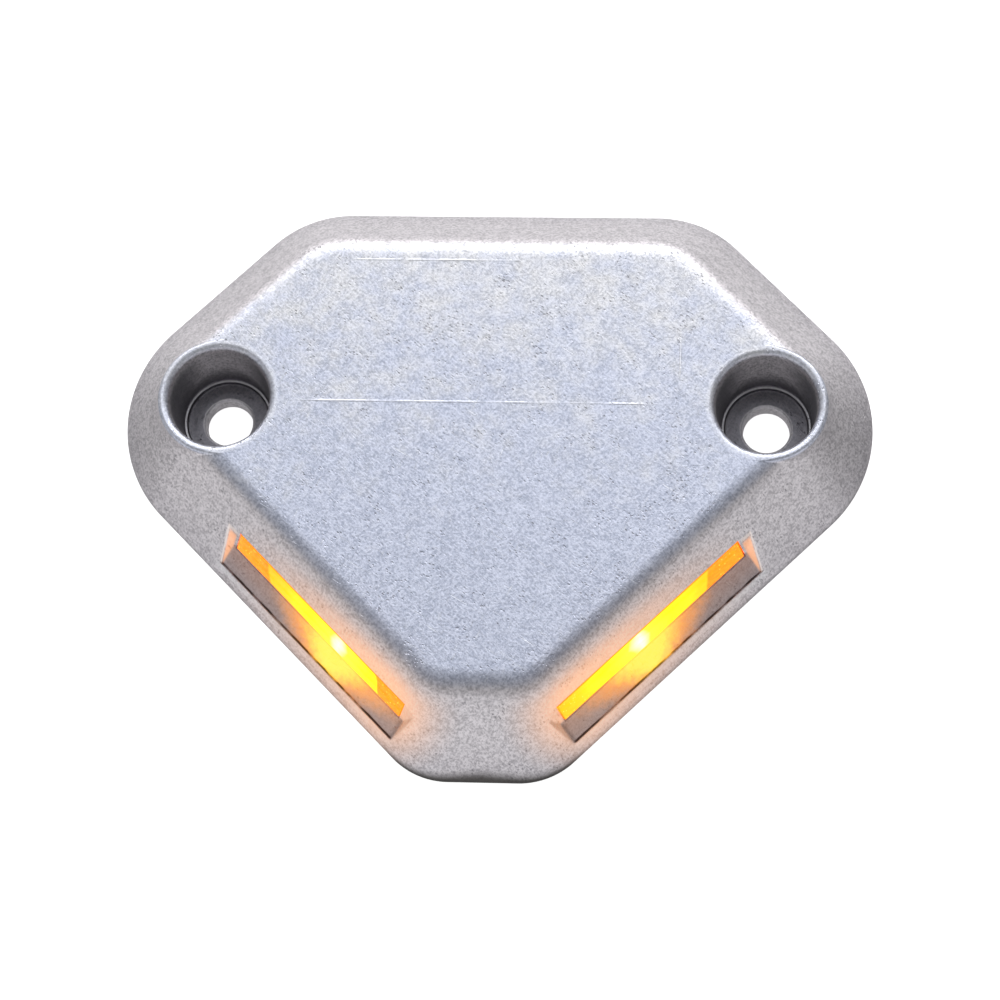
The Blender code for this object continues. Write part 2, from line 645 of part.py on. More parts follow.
def make_components(top, finishes):
    """Driver circuit, hung from the board's lower face, whose height is top."""
    for name, (x, y), (half_x, half_y, height), finish in BLOCK_PARTS:
        body = block(name, (x - half_x, y - half_y, top - height), (x + half_x, y + half_y, top))
        soften = body.modifiers.new("edges", "BEVEL")
        soften.width = BODY_BEVEL
        soften.segments = 2
        if name == "terminal_block":
            radius, apart, floor = TERMINAL_WAY
            for way in (-1.0, 1.0):
                cut(body, drum("terminal_way", radius, 0.0, top - floor, x + way * apart, y,
                               sides=SMALL_STEPS))
        as_part(body, finishes[finish])
    for name, (x, y), (radius, height), finish in ROUND_PARTS:
        as_part(drum(name, radius, top - height, top, x, y), finishes[finish])
    radius, height = COIL_SIZE
    coil = drum("choke_coil", radius, top - height, top, *COIL_PLACE)
    high = top - COIL_FLANGE
    low = top - height + COIL_FLANGE
    past_rim = radius + PAST
    ease = COIL_FLANGE * 0.2
    waist = [(past_rim, high), (COIL_WAIST, high - ease), (COIL_WAIST, low + ease), (past_rim, low)]
    groove = turned("coil_groove", waist + [waist[0]], *COIL_PLACE)
    groove.modifiers["spin"].use_normal_flip = True
    as_part(cut(coil, groove), finishes["copper"])


def lead_route(side, offset, top):
    """Points of one lead from its board connector to its light board, in a low arch."""
    start_x, start_y, drop = LEAD_START
    start = Vector((side * (start_x + offset), start_y, top - drop))
    reach = (WINDOW_MIDDLE - LEAD_END_SHORT - offset) / ROOT2
    inward = LEAD_END_IN / ROOT2
    end = Vector((side * (HALF_DIAGONAL - reach - inward), SIDE_Y - reach + inward, LEAD_END_Z))
    points = []
    for step in range(LEAD_STEPS + 1):
        share = step / LEAD_STEPS
        point = start.lerp(end, share)
        point.z -= LEAD_SAG * math.sin(math.pi * share)
        points.append(point)
    return points


def make_leads(top, finishes):
    """Two insulated leads on each side, from the driver board to the light board."""
    for side_name, side in (("left", -1.0), ("right", 1.0)):
        for number, (offset, finish) in enumerate(((-LEAD_APART, "red"), (LEAD_APART, "black")), 1):
            data = bpy.data.curves.new(f"led_lead_{side_name}_{number}", "CURVE")
            data.dimensions = "3D"
            data.bevel_depth = LEAD_RADIUS
            data.bevel_resolution = 2
            data.use_fill_caps = True
            route = lead_route(side, offset, top)
            spline = data.splines.new("POLY")
            spline.points.add(len(route) - 1)
            for point, place_at in zip(spline.points, route):
                point.co = (*place_at, 1.0)
            place(data.name, data, PARTS, finishes[finish])


def make_finishes():
    """Every material, by the plain name of what it is."""
    return {"cast": material("cast_aluminium", (0.60, 0.61, 0.64), 1.0, 0.45),
            "sheet": material("pressed_aluminium", (0.66, 0.66, 0.67), 1.0, 0.40),
            "lens": material("amber_lens", (1.0, 0.42, 0.01), 0.0, 0.12),
            "rubber": material("black_silicone", (0.03, 0.03, 0.03), 0.0, 0.80),
            "steel": material("zinc_steel", (0.55, 0.55, 0.56), 1.0, 0.30),
            "brass": material("nickel_brass", (0.62, 0.58, 0.48), 1.0, 0.30),
            "led": material("amber_led", (1.0, 0.75, 0.20), 0.0, 0.30),
            "green_board": material("green_laminate", (0.02, 0.16, 0.06), 0.0, 0.40),
            "white_board": material("white_laminate", (0.85, 0.85, 0.83), 0.0, 0.45),
            "black": material("black_moulding", (0.02, 0.02, 0.02), 0.0, 0.45),
            "white": material("white_moulding", (0.80, 0.79, 0.74), 0.0, 0.45),
            "green": material("green_moulding", (0.05, 0.30, 0.12), 0.0, 0.45),
            "yellow": material("yellow_film_case", (0.75, 0.55, 0.05), 0.0, 0.45),
            "blue": material("blue_epoxy", (0.05, 0.15, 0.45), 0.0, 0.35),
            "copper": material("enamelled_copper", (0.60, 0.25, 0.12), 1.0, 0.35),
            "red": material("red_insulation", (0.55, 0.03, 0.03), 0.0, 0.50)}


clear_scene()
finishes = make_finishes()
windows = {"left": flank_empty(-1.0, "left"), "right": flank_empty(1.0, "right")}
make_housing(list(windows.values()), finishes["cast"])
make_cover(finishes["sheet"])
make_cover_gasket(finishes["rubber"])
make_cover_screws(finishes["steel"])
make_gland(finishes["brass"], finishes["rubber"])
for window_name, window in windows.items():
    make_window(window_name, window, finishes)
components_top = make_board(finishes)
make_components(components_top, finishes)
make_leads(components_top, finishes)
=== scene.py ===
import math

import bmesh
import bpy
import numpy as np
from mathutils import Matrix, Vector
from mathutils.geometry import delaunay_2d_cdt


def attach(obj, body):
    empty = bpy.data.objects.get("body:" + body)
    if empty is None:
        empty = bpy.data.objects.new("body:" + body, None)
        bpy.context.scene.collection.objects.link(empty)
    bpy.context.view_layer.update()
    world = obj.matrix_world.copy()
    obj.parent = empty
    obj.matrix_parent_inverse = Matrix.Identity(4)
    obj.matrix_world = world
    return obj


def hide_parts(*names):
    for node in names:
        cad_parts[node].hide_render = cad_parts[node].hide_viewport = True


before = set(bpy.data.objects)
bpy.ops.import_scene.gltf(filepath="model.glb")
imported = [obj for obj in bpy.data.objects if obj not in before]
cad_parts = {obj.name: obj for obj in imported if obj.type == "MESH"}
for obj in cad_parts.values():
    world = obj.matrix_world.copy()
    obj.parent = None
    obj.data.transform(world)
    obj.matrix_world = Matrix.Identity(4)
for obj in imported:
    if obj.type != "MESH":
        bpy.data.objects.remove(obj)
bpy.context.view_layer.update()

# Raised pavement marker: a die-cast road stud with two lit amber windows, in metres, with its
# footprint centred on the origin, +X through the bolt holes and the lit flanks towards -Y.
MM = 0.001


# ---- Studio -----------------------------------------------------------------------------------
# A long lens looks down steeply from in front of the marker, turned so that the marker's back
# edge lies level. Pale bench, soft boxes overhead and behind, pale walls only low down in front.
LOOK_AZIMUTH = math.radians(13.73)
LOOK_ELEVATION = math.radians(70.52)
LOOK_ROLL = math.radians(-12.14)
LOOK_DISTANCE = 0.6704
LOOK_AT = Vector((0.00189, -0.00459, 0.0100))
LENS_LENGTH = 125.6


def set_camera():
    """Camera at LOOK_DISTANCE from LOOK_AT along the azimuth and elevation, then rolled."""
    away = Vector((math.sin(LOOK_AZIMUTH) * math.cos(LOOK_ELEVATION),
                   -math.cos(LOOK_AZIMUTH) * math.cos(LOOK_ELEVATION), math.sin(LOOK_ELEVATION)))
    level = Vector((math.cos(LOOK_AZIMUTH), math.sin(LOOK_AZIMUTH), 0.0))
    upward = away.cross(level)
    right = level * math.cos(LOOK_ROLL) + upward * math.sin(LOOK_ROLL)
    top = upward * math.cos(LOOK_ROLL) - level * math.sin(LOOK_ROLL)
    place = Matrix((right, top, away)).transposed().to_4x4()
    place.translation = LOOK_AT + away * LOOK_DISTANCE
    data = bpy.data.cameras.new("studio_camera")
    data.lens = LENS_LENGTH
    data.clip_start = 0.01
    made = bpy.data.objects.new("studio_camera", data)
    made.matrix_world = place
    bpy.context.scene.collection.objects.link(made)
    bpy.context.scene.camera = made


def soft_box(name, azimuth, elevation, distance, width, height, power, colour):
    """A rectangular soft box aimed at the marker from a compass angle (0 is in front) and a height."""
    side = math.radians(azimuth)
    lift = math.radians(elevation)
    place = Vector((math.sin(side) * math.cos(lift), -math.cos(side) * math.cos(lift), math.sin(lift)))
    data = bpy.data.lights.new(name, "AREA")
    data.shape = "RECTANGLE"
    data.size = width
    data.size_y = height
    data.energy = power
    data.color = colour
    made = bpy.data.objects.new(name, data)
    made.location = place * distance
    made.rotation_euler = place.to_track_quat("Z", "Y").to_euler()
    bpy.context.scene.collection.objects.link(made)


class Wire:
    """An output socket of a shader, so that sums on it read like ordinary sums."""

    def __init__(self, tree, socket):
        self.tree = tree
        self.socket = socket

    def node(self, kind, settings=None, inputs=None, output=0):
        """Add a node: settings first, then values or wires for its sockets."""
        made = self.tree.nodes.new(kind)
        for key, value in (settings or {}).items():
            setattr(made, key, value)
        for key, value in (inputs or {}).items():
            feed(self.tree, made.inputs[key], value)
        return Wire(self.tree, made.outputs[output])

    def maths(self, operation, *others):
        """A Math node on this wire and the others."""
        return self.node("ShaderNodeMath", {"operation": operation}, dict(enumerate((self, *others))))

    def __add__(self, other):
        return self.maths("ADD", other)

    __radd__ = __add__

    def __sub__(self, other):
        return self.maths("SUBTRACT", other)

    def __rsub__(self, other):
        return self.node("ShaderNodeMath", {"operation": "SUBTRACT"}, {0: other, 1: self})

    def __mul__(self, other):
        return self.maths("MULTIPLY", other)

    __rmul__ = __mul__

    def __pow__(self, other):
        return self.maths("POWER", other)

    def __abs__(self):
        return self.maths("ABSOLUTE")

    def most(self, other):
        return self.maths("MAXIMUM", other)

    def root(self):
        return self.maths("SQRT")

    def fade(self, start, end):
        """0 at start, 1 at end, with a smooth passage between them."""
        return self.node("ShaderNodeMapRange", {"interpolation_type": "SMOOTHSTEP"},
                         {0: self, 1: start, 2: end, 3: 0.0, 4: 1.0})

    def part(self, letter):
        """One coordinate of a vector wire."""
        return self.node("ShaderNodeSeparateXYZ", None, {0: self}, "XYZ".index(letter))

    def stretched(self, factors, turn=0.0):
        """The vector turned about Z, then scaled axis by axis."""
        turned = self.node("ShaderNodeMapping", None, {0: self, 2: (0.0, 0.0, turn)})
        return turned.node("ShaderNodeMapping", None, {0: turned, 3: factors})

    def noise(self, scale, detail=2.0, roughness=0.5, distortion=0.0):
        """Cloudy noise about 0.5, with features roughly 1 / scale across."""
        return self.node("ShaderNodeTexNoise", None, {"Vector": self, "Scale": scale, "Detail": detail,
                                                      "Roughness": roughness, "Distortion": distortion})

    def cells(self, scale, measure="EUCLIDEAN"):
        """Distance to the nearest of many scattered points, roughly 1 / scale apart."""
        return self.node("ShaderNodeTexVoronoi", {"feature": "F1", "distance": measure},
                         {"Vector": self, "Scale": scale})

    def between(self, low, high):
        """A colour from low to high, by this wire's value."""
        return self.node("ShaderNodeMix", {"data_type": "RGBA"}, {0: self, 6: low, 7: high}, 2)

    def ramp(self, *stops):
        """A colour picked by this wire's value from a row of (place, colour) stops."""
        made = self.tree.nodes.new("ShaderNodeValToRGB")
        elements = made.color_ramp.elements
        while len(elements) < len(stops):
            elements.new(1.0)
        for element, (place, colour) in zip(elements, stops):
            element.position = place
            element.color = (*colour, 1.0)
        feed(self.tree, made.inputs[0], self)
        return Wire(self.tree, made.outputs[0])

    def bump(self, height, depth, strength=1.0):
        """A normal from this height, 0 to 1 being depth metres."""
        return self.node("ShaderNodeBump", None, {"Height": height, "Distance": depth, "Strength": strength})


def feed(tree, socket, value):
    """Join a wire to a socket, or set the socket's value; a colour is given without its alpha."""
    if isinstance(value, Wire):
        tree.links.new(value.socket, socket)
    elif socket.type == "RGBA":
        socket.default_value = (*value, 1.0)
    else:
        socket.default_value = value


class Finish:
    """A material under way: where is the place on the piece, and set() gives the surface its values."""

    def __init__(self, name, **constants):
        self.material = bpy.data.materials.new(name)
        self.material.use_nodes = True
        self.tree = self.material.node_tree
        self.shader = self.tree.nodes["Principled BSDF"]
        self.where = Wire(self.tree, self.tree.nodes.new("ShaderNodeTexCoord").outputs["Object"])
        self.set(**constants)

    def set(self, **values):
        """Sockets of the surface by name, with _ for a space: a number, a colour or a wire."""
        for key, value in values.items():
            feed(self.tree, self.shader.inputs[key.replace("_", " ")], value)


BENCH_HALF = 9.0
BENCH_DROP = 0.0002


def lay_bench():
    """Flat pale bench just under the marker, lit evenly so that it reads as clean white."""
    edge = np.linspace(-BENCH_HALF, BENCH_HALF, 3)
    x, y = np.meshgrid(edge, edge)
    points = np.stack([x, y, np.full_like(x, -BENCH_DROP)], axis=-1).reshape(-1, 3)
    faces = [(r * 3 + c, r * 3 + c + 1, r * 3 + c + 4, r * 3 + c + 3) for r in range(2) for c in range(2)]
    data = bpy.data.meshes.new("bench")
    data.from_pydata(points.tolist(), [], faces)
    finish = Finish("bench_white", Roughness=0.9, Emission_Strength=0.9)
    tone = finish.where.noise(3.0).fade(0.2, 0.8)
    finish.set(Base_Color=tone.between((0.70, 0.70, 0.70), (0.73, 0.73, 0.73)),
               Emission_Color=(1.0, 1.0, 1.0))
    data.materials.append(finish.material)
    made = bpy.data.objects.new("bench", data)
    bpy.context.scene.collection.objects.link(made)
    made.visible_glossy = False


def surround_studio():
    """Walls of the tent: pale low in front, dim high in front, pale behind, and paler left than right."""
    world = bpy.data.worlds.new("studio")
    world.use_nodes = True
    tree = world.node_tree
    way = Wire(tree, tree.nodes.new("ShaderNodeTexCoord").outputs["Generated"])
    up = way.part("Z")
    front = (way.part("Y") * -1.0).fade(0.10, 0.60) * up.fade(0.62, 0.12)
    behind = way.part("Y").fade(0.30, 0.85)
    low_front = up.fade(-0.85, -0.05)
    left = (way.part("X") * -1.0).fade(0.10, 0.80)
    level = 0.31 + front * low_front * 0.85 + behind * 0.50 + left * 0.13
    feed(tree, tree.nodes["Background"].inputs["Color"], level.between((0.0, 0.0, 0.0), (1.0, 1.0, 1.0)))
    bpy.context.scene.world = world


def light_studio():
    """A cool soft box overhead and a broad low one behind."""
    surround_studio()
    soft_box("overhead_box", azimuth=180.0, elevation=64.0, distance=1.6, width=1.3, height=0.9, power=5.2,
             colour=(0.96, 0.98, 1.0))
    soft_box("back_box", azimuth=180.0, elevation=27.0, distance=1.8, width=2.4, height=0.50, power=19.0,
             colour=(1.0, 0.99, 0.97))
    bpy.context.scene.view_settings.view_transform = "Standard"


set_camera()
lay_bench()
light_studio()


# ---- Housing ----------------------------------------------------------------------------------
# One aluminium die casting: a six-sided low pyramid with a flat top, raised rims round two deep
# bolt wells, and a long recess for a light window on each front flank. Tumbled after casting, so
# its edges are soft and its faces are finely pitted. Plan sizes below are in millimetres.
DIAGONAL = 84.5
DEEP = 58.2
SHOULDER_Y = 13.4
TOP = 18.5
FOOT = 2.0
CORNERS = np.array([(DIAGONAL - DEEP + SHOULDER_Y, DEEP), (DIAGONAL, SHOULDER_Y),
                    (DIAGONAL - DEEP - SHOULDER_Y, -DEEP), (-(DIAGONAL - DEEP - SHOULDER_Y), -DEEP),
                    (-DIAGONAL, SHOULDER_Y), (-(DIAGONAL - DEEP + SHOULDER_Y), DEEP)])
BASE_RADII = np.array([22.0, 27.0, 15.0, 15.0, 27.0, 22.0])
TOP_RADII = np.array([12.0, 14.5, 9.0, 9.0, 14.5, 12.0])
INSETS = np.array([12.3, 12.3, 14.0, 12.3, 12.3, 12.5])
FLANK_INSET = 12.3
FOOT_RADIUS = 2.5
SHOULDER_RADIUS = 6.0
UNDER_RADIUS = 0.8
BOLT_X = 52.67
BOLT_Y = 12.8
LIP_RADIUS = 11.1
LIP_OUTER = 0.75
LIP_FALL = 5.0
LIP_BLEND = 0.7

RISE = (TOP - FOOT) / FLANK_INSET
LEAN = math.atan(RISE)
FOOT_CENTRE = FOOT - FOOT_RADIUS * math.tan((math.pi / 2.0 - LEAN) / 2.0)
RUN = np.roll(CORNERS, -1, axis=0) - CORNERS
RUN = RUN / np.linalg.norm(RUN, axis=1)[:, None]
INWARD = np.stack([RUN[:, 1], -RUN[:, 0]], axis=1)


def arc_motion():
    """Where each corner's arc has its centre at the base, and how it moves per unit of share.

    A corner's two sides stand in at their own rates, and its radius shrinks from base to top, so
    the centre and the radius are both linear in the share.
    """
    starts, moves = [], []
    for j in range(6):
        sides = np.array([INWARD[j - 1], INWARD[j]])
        corner_move = np.linalg.solve(sides, np.array([INSETS[j - 1], INSETS[j]]))
        centre_lead = np.linalg.solve(sides, np.ones(2))
        starts.append(CORNERS[j] + centre_lead * BASE_RADII[j])
        moves.append(corner_move + centre_lead * (TOP_RADII[j] - BASE_RADII[j]))
    return np.array(starts), np.array(moves)


ARC_START, ARC_MOVE = arc_motion()


def share_at(x, y):
    """How far up the slope plan points lie: 0 on the base edge, 1 on the plateau's sharp edge.

    Beside a straight side it is the distance in from that side over the side's inset. Round a
    corner it is the share whose arc passes through the point, the root of a quadratic.
    """
    point = np.stack([x, y], axis=-1)
    sides = [((point - CORNERS[i]) @ INWARD[i]) / INSETS[i] for i in range(6)]
    share = np.min(np.stack(sides), axis=0)
    for j in range(6):
        shrink = TOP_RADII[j] - BASE_RADII[j]
        away = point - ARC_START[j]
        b = away @ ARC_MOVE[j] + BASE_RADII[j] * shrink
        a = ARC_MOVE[j] @ ARC_MOVE[j] - shrink ** 2
        c = np.sum(away ** 2, axis=-1) - BASE_RADII[j] ** 2
        root = c / (b - np.sqrt(np.maximum(b ** 2 - a * c, 0.0)))
        spoke = away - root[..., None] * ARC_MOVE[j]
        inside = (spoke @ RUN[j - 1] > 0.0) & (spoke @ -RUN[j] > 0.0) & (BASE_RADII[j] + root * shrink > 0.0)
        share = np.where(inside, np.minimum(share, root), share)
    return share


def ring_at(inset, step=0.7):
    """Rounded outline of the housing at each flank inset: six arcs and the straights between.

    Every ring has the same number of points, so that rings can be skinned to each other.
    """
    share = np.atleast_1d(np.asarray(inset, float))[:, None, None] / FLANK_INSET
    pieces = []
    for j in range(6):
        radius = BASE_RADII[j] + share * (TOP_RADII[j] - BASE_RADII[j])
        centre = ARC_START[j] + share * ARC_MOVE[j]
        first = math.atan2(*-INWARD[j - 1][::-1])
        last = math.atan2(*-INWARD[j][::-1])
        sweep = (last - first + math.pi) % (2.0 * math.pi) - math.pi
        count = max(6, int(abs(sweep) * BASE_RADII[j] / step))
        angle = first + sweep * np.linspace(0.0, 1.0, count + 1)[:, None]
        pieces.append(centre + radius * np.concatenate([np.cos(angle), np.sin(angle)], axis=1))
        k = (j + 1) % 6
        next_centre = ARC_START[k] + share * ARC_MOVE[k]
        next_radius = BASE_RADII[k] + share * (TOP_RADII[k] - BASE_RADII[k])
        start = pieces[-1][:, -1:, :]
        end = next_centre - next_radius * INWARD[j]
        length = np.linalg.norm(end[0] - start[0])
        count = max(3, int(length / step))
        pieces.append(start + (end - start) * (np.arange(1, count) / count)[:, None])
    return np.concatenate(pieces, axis=1)


def casting_height(inset):
    """Height of the plain casting at a flank inset: foot fillet, straight slope, round shoulder, top."""
    foot_reach = FOOT_RADIUS * (1.0 - math.sin(LEAN))
    foot_side = FOOT_RADIUS - np.maximum(inset, 0.0)
    foot = FOOT_CENTRE + np.sqrt(np.maximum(FOOT_RADIUS ** 2 - foot_side ** 2, 0.0))
    centre = FLANK_INSET + SHOULDER_RADIUS * math.tan(LEAN / 2.0)
    start = centre - SHOULDER_RADIUS * math.sin(LEAN)
    round_part = TOP - SHOULDER_RADIUS + np.sqrt(
        np.maximum(SHOULDER_RADIUS ** 2 - (centre - np.minimum(inset, centre)) ** 2, 0.0))
    height = np.where(inset < start, FOOT + RISE * inset, round_part)
    return np.where(inset < foot_reach, foot, height)


def soft_most(a, b, reach):
    """The larger of two heights, with their crease filled over the given difference."""
    overlap = np.maximum(reach - np.abs(a - b), 0.0) / reach
    return np.maximum(a, b) + overlap ** 2 * reach / 4.0


def soft_least(a, b, reach):
    """The smaller of two heights, with their edge rounded over the given difference."""
    return -soft_most(-a, -b, reach)


# Light window recess, in the flank's own plan: x along it from the window's middle, inward from
# the base edge. It has a sloping floor, a face that leans back where the lens stands, and flared
# ends; a slot through the wall takes the lens.
WINDOW_MIDDLE = 68.2
FLOOR_LIP = (1.85, 3.95)
LENS_FOOT = (5.3, 7.3)
LENS_HEAD = (7.45, 12.0)
RECESS_HALF = 24.2
END_RISE = 0.95
STEP_RISE = 3.0
LIP_FILL = 0.25
END_FILL = 0.5
FACE_FILL = 0.12
RECESS_ROUND = 0.22
RECESS_SPAN = 32.0
RECESS_BAND = (0.5, 9.5)
SLOT_HALF = 23.62
SLOT_DEPTH = (4.5, 10.6)
SLOT_HEIGHT = (7.38, 12.06)


def flank_plan(x, y):
    """Plan points, either side, as distance forward along the flank from the window's middle, and inward."""
    root = math.sqrt(2.0)
    from_corner = (DIAGONAL - np.abs(x)) / root
    drop = (SHOULDER_Y - y) / root
    return from_corner + drop - WINDOW_MIDDLE, from_corner - drop


def recess_height(along, inward):
    """Height of the recess: highest of its floor, lens face, flared ends and short outer step."""
    floor_rise = (LENS_FOOT[1] - FLOOR_LIP[1]) / (LENS_FOOT[0] - FLOOR_LIP[0])
    face_rise = (LENS_HEAD[1] - LENS_FOOT[1]) / (LENS_HEAD[0] - LENS_FOOT[0])
    floor = FLOOR_LIP[1] + (inward - FLOOR_LIP[0]) * floor_rise
    step = FLOOR_LIP[1] + (FLOOR_LIP[0] - inward) * STEP_RISE
    face = LENS_FOOT[1] + (inward - LENS_FOOT[0]) * face_rise
    ends = floor + (np.abs(along) - RECESS_HALF) * END_RISE
    base = soft_most(floor, step, LIP_FILL)
    return soft_most(soft_most(base, ends, END_FILL), face, FACE_FILL)


def rim_height(x, y):
    """Height of the raised rims round the bolt wells, far below the casting away from them."""
    reach = np.hypot(np.abs(x) - BOLT_X, y - BOLT_Y) - LIP_RADIUS
    round_part = np.sqrt(np.maximum(LIP_OUTER ** 2 - np.clip(reach, 0.0, LIP_OUTER) ** 2, 0.0))
    return TOP - LIP_OUTER + round_part - np.maximum(reach - LIP_OUTER * 0.96, 0.0) * LIP_FALL


def outer_height(x, y):
    """Height of the finished top surface over any plan point."""
    height = casting_height(share_at(x, y) * FLANK_INSET)
    height = np.minimum(soft_most(height, rim_height(x, y), LIP_BLEND), np.maximum(height, TOP))
    along, inward = flank_plan(x, y)
    recess = recess_height(along, inward)
    near = (y < SHOULDER_Y) & (np.abs(along) < RECESS_SPAN)
    near = near & (inward > RECESS_BAND[0]) & (inward < RECESS_BAND[1])
    return np.where(near, soft_least(height, recess, RECESS_ROUND), height)


WELL_STEPS = 120
WELL_RINGS = np.array([0.0, 0.12, 0.25, 0.38, 0.5, 0.6, 0.68, 0.74, 0.8, 0.9, 1.05, 1.3, 1.7, 2.3, 3.1, 4.1])


def circle_points(radii, side):
    """Points on circles of the given radii round one bolt."""
    turn = np.arange(WELL_STEPS) * 2.0 * math.pi / WELL_STEPS
    x = side * BOLT_X + radii[:, None] * np.cos(turn)
    y = BOLT_Y + radii[:, None] * np.sin(turn)
    return np.stack([x, y], axis=-1)


# Rows of points inward over a recess: close together at its lip, its lens foot and its lens head.
RECESS_ROWS = np.array([0.95, 1.2, 1.4, 1.52, 1.6, 1.67, 1.73, 1.79, 1.85, 1.92, 2.0, 2.15, 2.4, 2.8, 3.3,
                        3.9, 4.4, 4.8, 5.05, 5.18, 5.27, 5.34, 5.45, 5.8, 6.4, 6.9, 7.15, 7.3, 7.4, 7.47,
                        7.54, 7.63, 7.8, 8.1, 8.5])


def recess_points():
    """Plan points over one window recess, close together towards its flared ends."""
    along = np.concatenate([np.arange(0.0, 21.9, 1.05), np.arange(22.0, 28.6, 0.22)])
    along = np.concatenate([-along[:0:-1], along])
    return np.stack(np.meshgrid(along, RECESS_ROWS, indexing="ij"), axis=-1).reshape(-1, 2)


def flank_to_plan(points, side):
    """The reverse of flank_plan, for the right (+1) or left (-1) flank."""
    root = math.sqrt(2.0)
    reach = WINDOW_MIDDLE + points[:, 0]
    x = DIAGONAL - (reach + points[:, 1]) / root
    y = SHOULDER_Y - (reach - points[:, 1]) / root
    return np.stack([side * x, y], axis=-1)


def fill_plan(loops, loose):
    """Triangles over plan points inside the first loop and outside the others."""
    points = np.concatenate(loops + [loose])
    edges = []
    start = 0
    for loop in loops:
        count = len(loop)
        edges += [(start + i, start + (i + 1) % count) for i in range(count)]
        start += count
    made = delaunay_2d_cdt([Vector(p) for p in points.tolist()], edges, [], 1, 1e-5)
    plan = np.array([tuple(p) for p in made[0]])
    tris = np.array(made[2])
    # Both holes are circles round the bolts, and the second loop is the left one.
    rim = loops[1][0]
    hole_radius = np.hypot(rim[0] + BOLT_X, rim[1] - BOLT_Y) * math.cos(math.pi / WELL_STEPS)
    middle = plan[tris].mean(axis=1)
    reach = np.hypot(np.abs(middle[:, 0]) - BOLT_X, middle[:, 1] - BOLT_Y)
    return plan, tris[reach > hole_radius]


def raised(rings, heights):
    """Plan rings, each lifted to its own height."""
    lift = np.asarray(heights)[:, None, None]
    return np.concatenate([rings, np.broadcast_to(lift, (*rings.shape[:2], 1))], axis=2)


def skin(rings):
    """Quads between successive closed rings of points, given as (ring, point, xyz)."""
    rows, count = rings.shape[:2]
    index = np.arange(rows * count).reshape(rows, count)
    ahead = np.roll(index, -1, axis=1)
    quads = np.stack([index[:-1], ahead[:-1], ahead[1:], index[1:]], axis=-1).reshape(-1, 4)
    return rings.reshape(-1, 3), quads


def solid(name, patches):
    """One closed mesh from patches of (points, faces) in mm whose borders coincide, normals outward."""
    bm = bmesh.new()
    for points, faces in patches:
        verts = [bm.verts.new(p) for p in (points * MM).tolist()]
        for face in faces.tolist():
            bm.faces.new([verts[i] for i in face])
    bmesh.ops.remove_doubles(bm, verts=bm.verts, dist=2e-6)
    bmesh.ops.recalc_face_normals(bm, faces=bm.faces)
    data = bpy.data.meshes.new(name)
    bm.to_mesh(data)
    bm.free()
    made = bpy.data.objects.new(name, data)
    bpy.context.scene.collection.objects.link(made)
    return made


def capped(name, rings):
    """A closed solid from rings of points, its first and last rings filled in flat."""
    rows, count = rings.shape[:2]
    points, quads = skin(rings)
    ends = np.array([np.arange(count), np.arange(count) + (rows - 1) * count])
    return solid(name, [(points, quads), (points, ends)])


# Section of a bolt well as (radius, height) in mm. The floor runs from the wall's foot over the
# relief groove and the washer seat, round the edge of the hole, and out to the eased lower edge.
MOUTH_REACH = 1.3
MOUTH_DROP = 1.5
WALL_FOOT = (8.85, 5.2)
LEDGE_REACH = 0.35
LEDGE_DROP = 0.5
WELL_FLOOR = np.array([(8.28, 4.69), (8.2, 4.62), (8.17, 4.5), (8.15, 4.1), (8.08, 3.9), (7.95, 3.78),
                       (7.7, 3.75), (6.4, 3.75), (5.15, 3.75), (4.95, 3.70), (4.72, 3.45), (4.62, 3.15),
                       (4.6, 2.6), (4.55, 1.2), (4.52, 0.5), (4.6, 0.25), (4.75, 0.08), (4.95, 0.0)])


def well_profile():
    """(radius, height) down one bolt well: rounded mouth, drafted wall, rounded ledge, then its floor."""
    turn = np.linspace(0.0, math.pi / 2.0, 9)
    mouth = np.stack([LIP_RADIUS - MOUTH_REACH * np.sin(turn),
                      TOP - MOUTH_DROP * (1.0 - np.cos(turn))], axis=1)
    wall = np.linspace(mouth[-1], WALL_FOOT, 12)[1:]
    turn = np.linspace(0.0, math.pi / 2.0, 6)[1:]
    ledge = np.stack([WALL_FOOT[0] - LEDGE_REACH * (1.0 - np.cos(turn)),
                      WALL_FOOT[1] - LEDGE_DROP * np.sin(turn)], axis=1)
    return np.concatenate([mouth, wall, ledge, WELL_FLOOR])


SKIRT_INSET = 0.9


def make_skirt():
    """Plan rings of the lower edge and their heights: eased under edge, foot fillet, start of the slope."""
    under = np.linspace(0.0, math.pi / 2.0, 6)
    foot = np.linspace(0.0, math.pi / 2.0 - LEAN, 7)
    insets = np.concatenate([UNDER_RADIUS * (1.0 - np.sin(under)), FOOT_RADIUS * (1.0 - np.cos(foot)),
                             [SKIRT_INSET]])
    heights = np.concatenate([UNDER_RADIUS * (1.0 - np.cos(under)), FOOT_CENTRE + FOOT_RADIUS * np.sin(foot),
                              [FOOT + SKIRT_INSET * RISE]])
    return ring_at(insets), heights


# Insets of the rows of points up the slope: wide on its flat, close round the shoulder. A square
# grid carries on from the last of them, and both stay clear of the wells and of the recesses.
SLOPE_ROWS = np.concatenate([np.arange(1.8, 9.4, 0.95), np.arange(9.6, 16.3, 0.42)])
GRID_INSET = 17.2
GRID_X = np.arange(-60.0, 60.0, 2.2)
GRID_Y = np.arange(-50.0, 50.0, 2.2)
WELL_GAP = 0.3
RECESS_AREA = (28.9, 8.8)


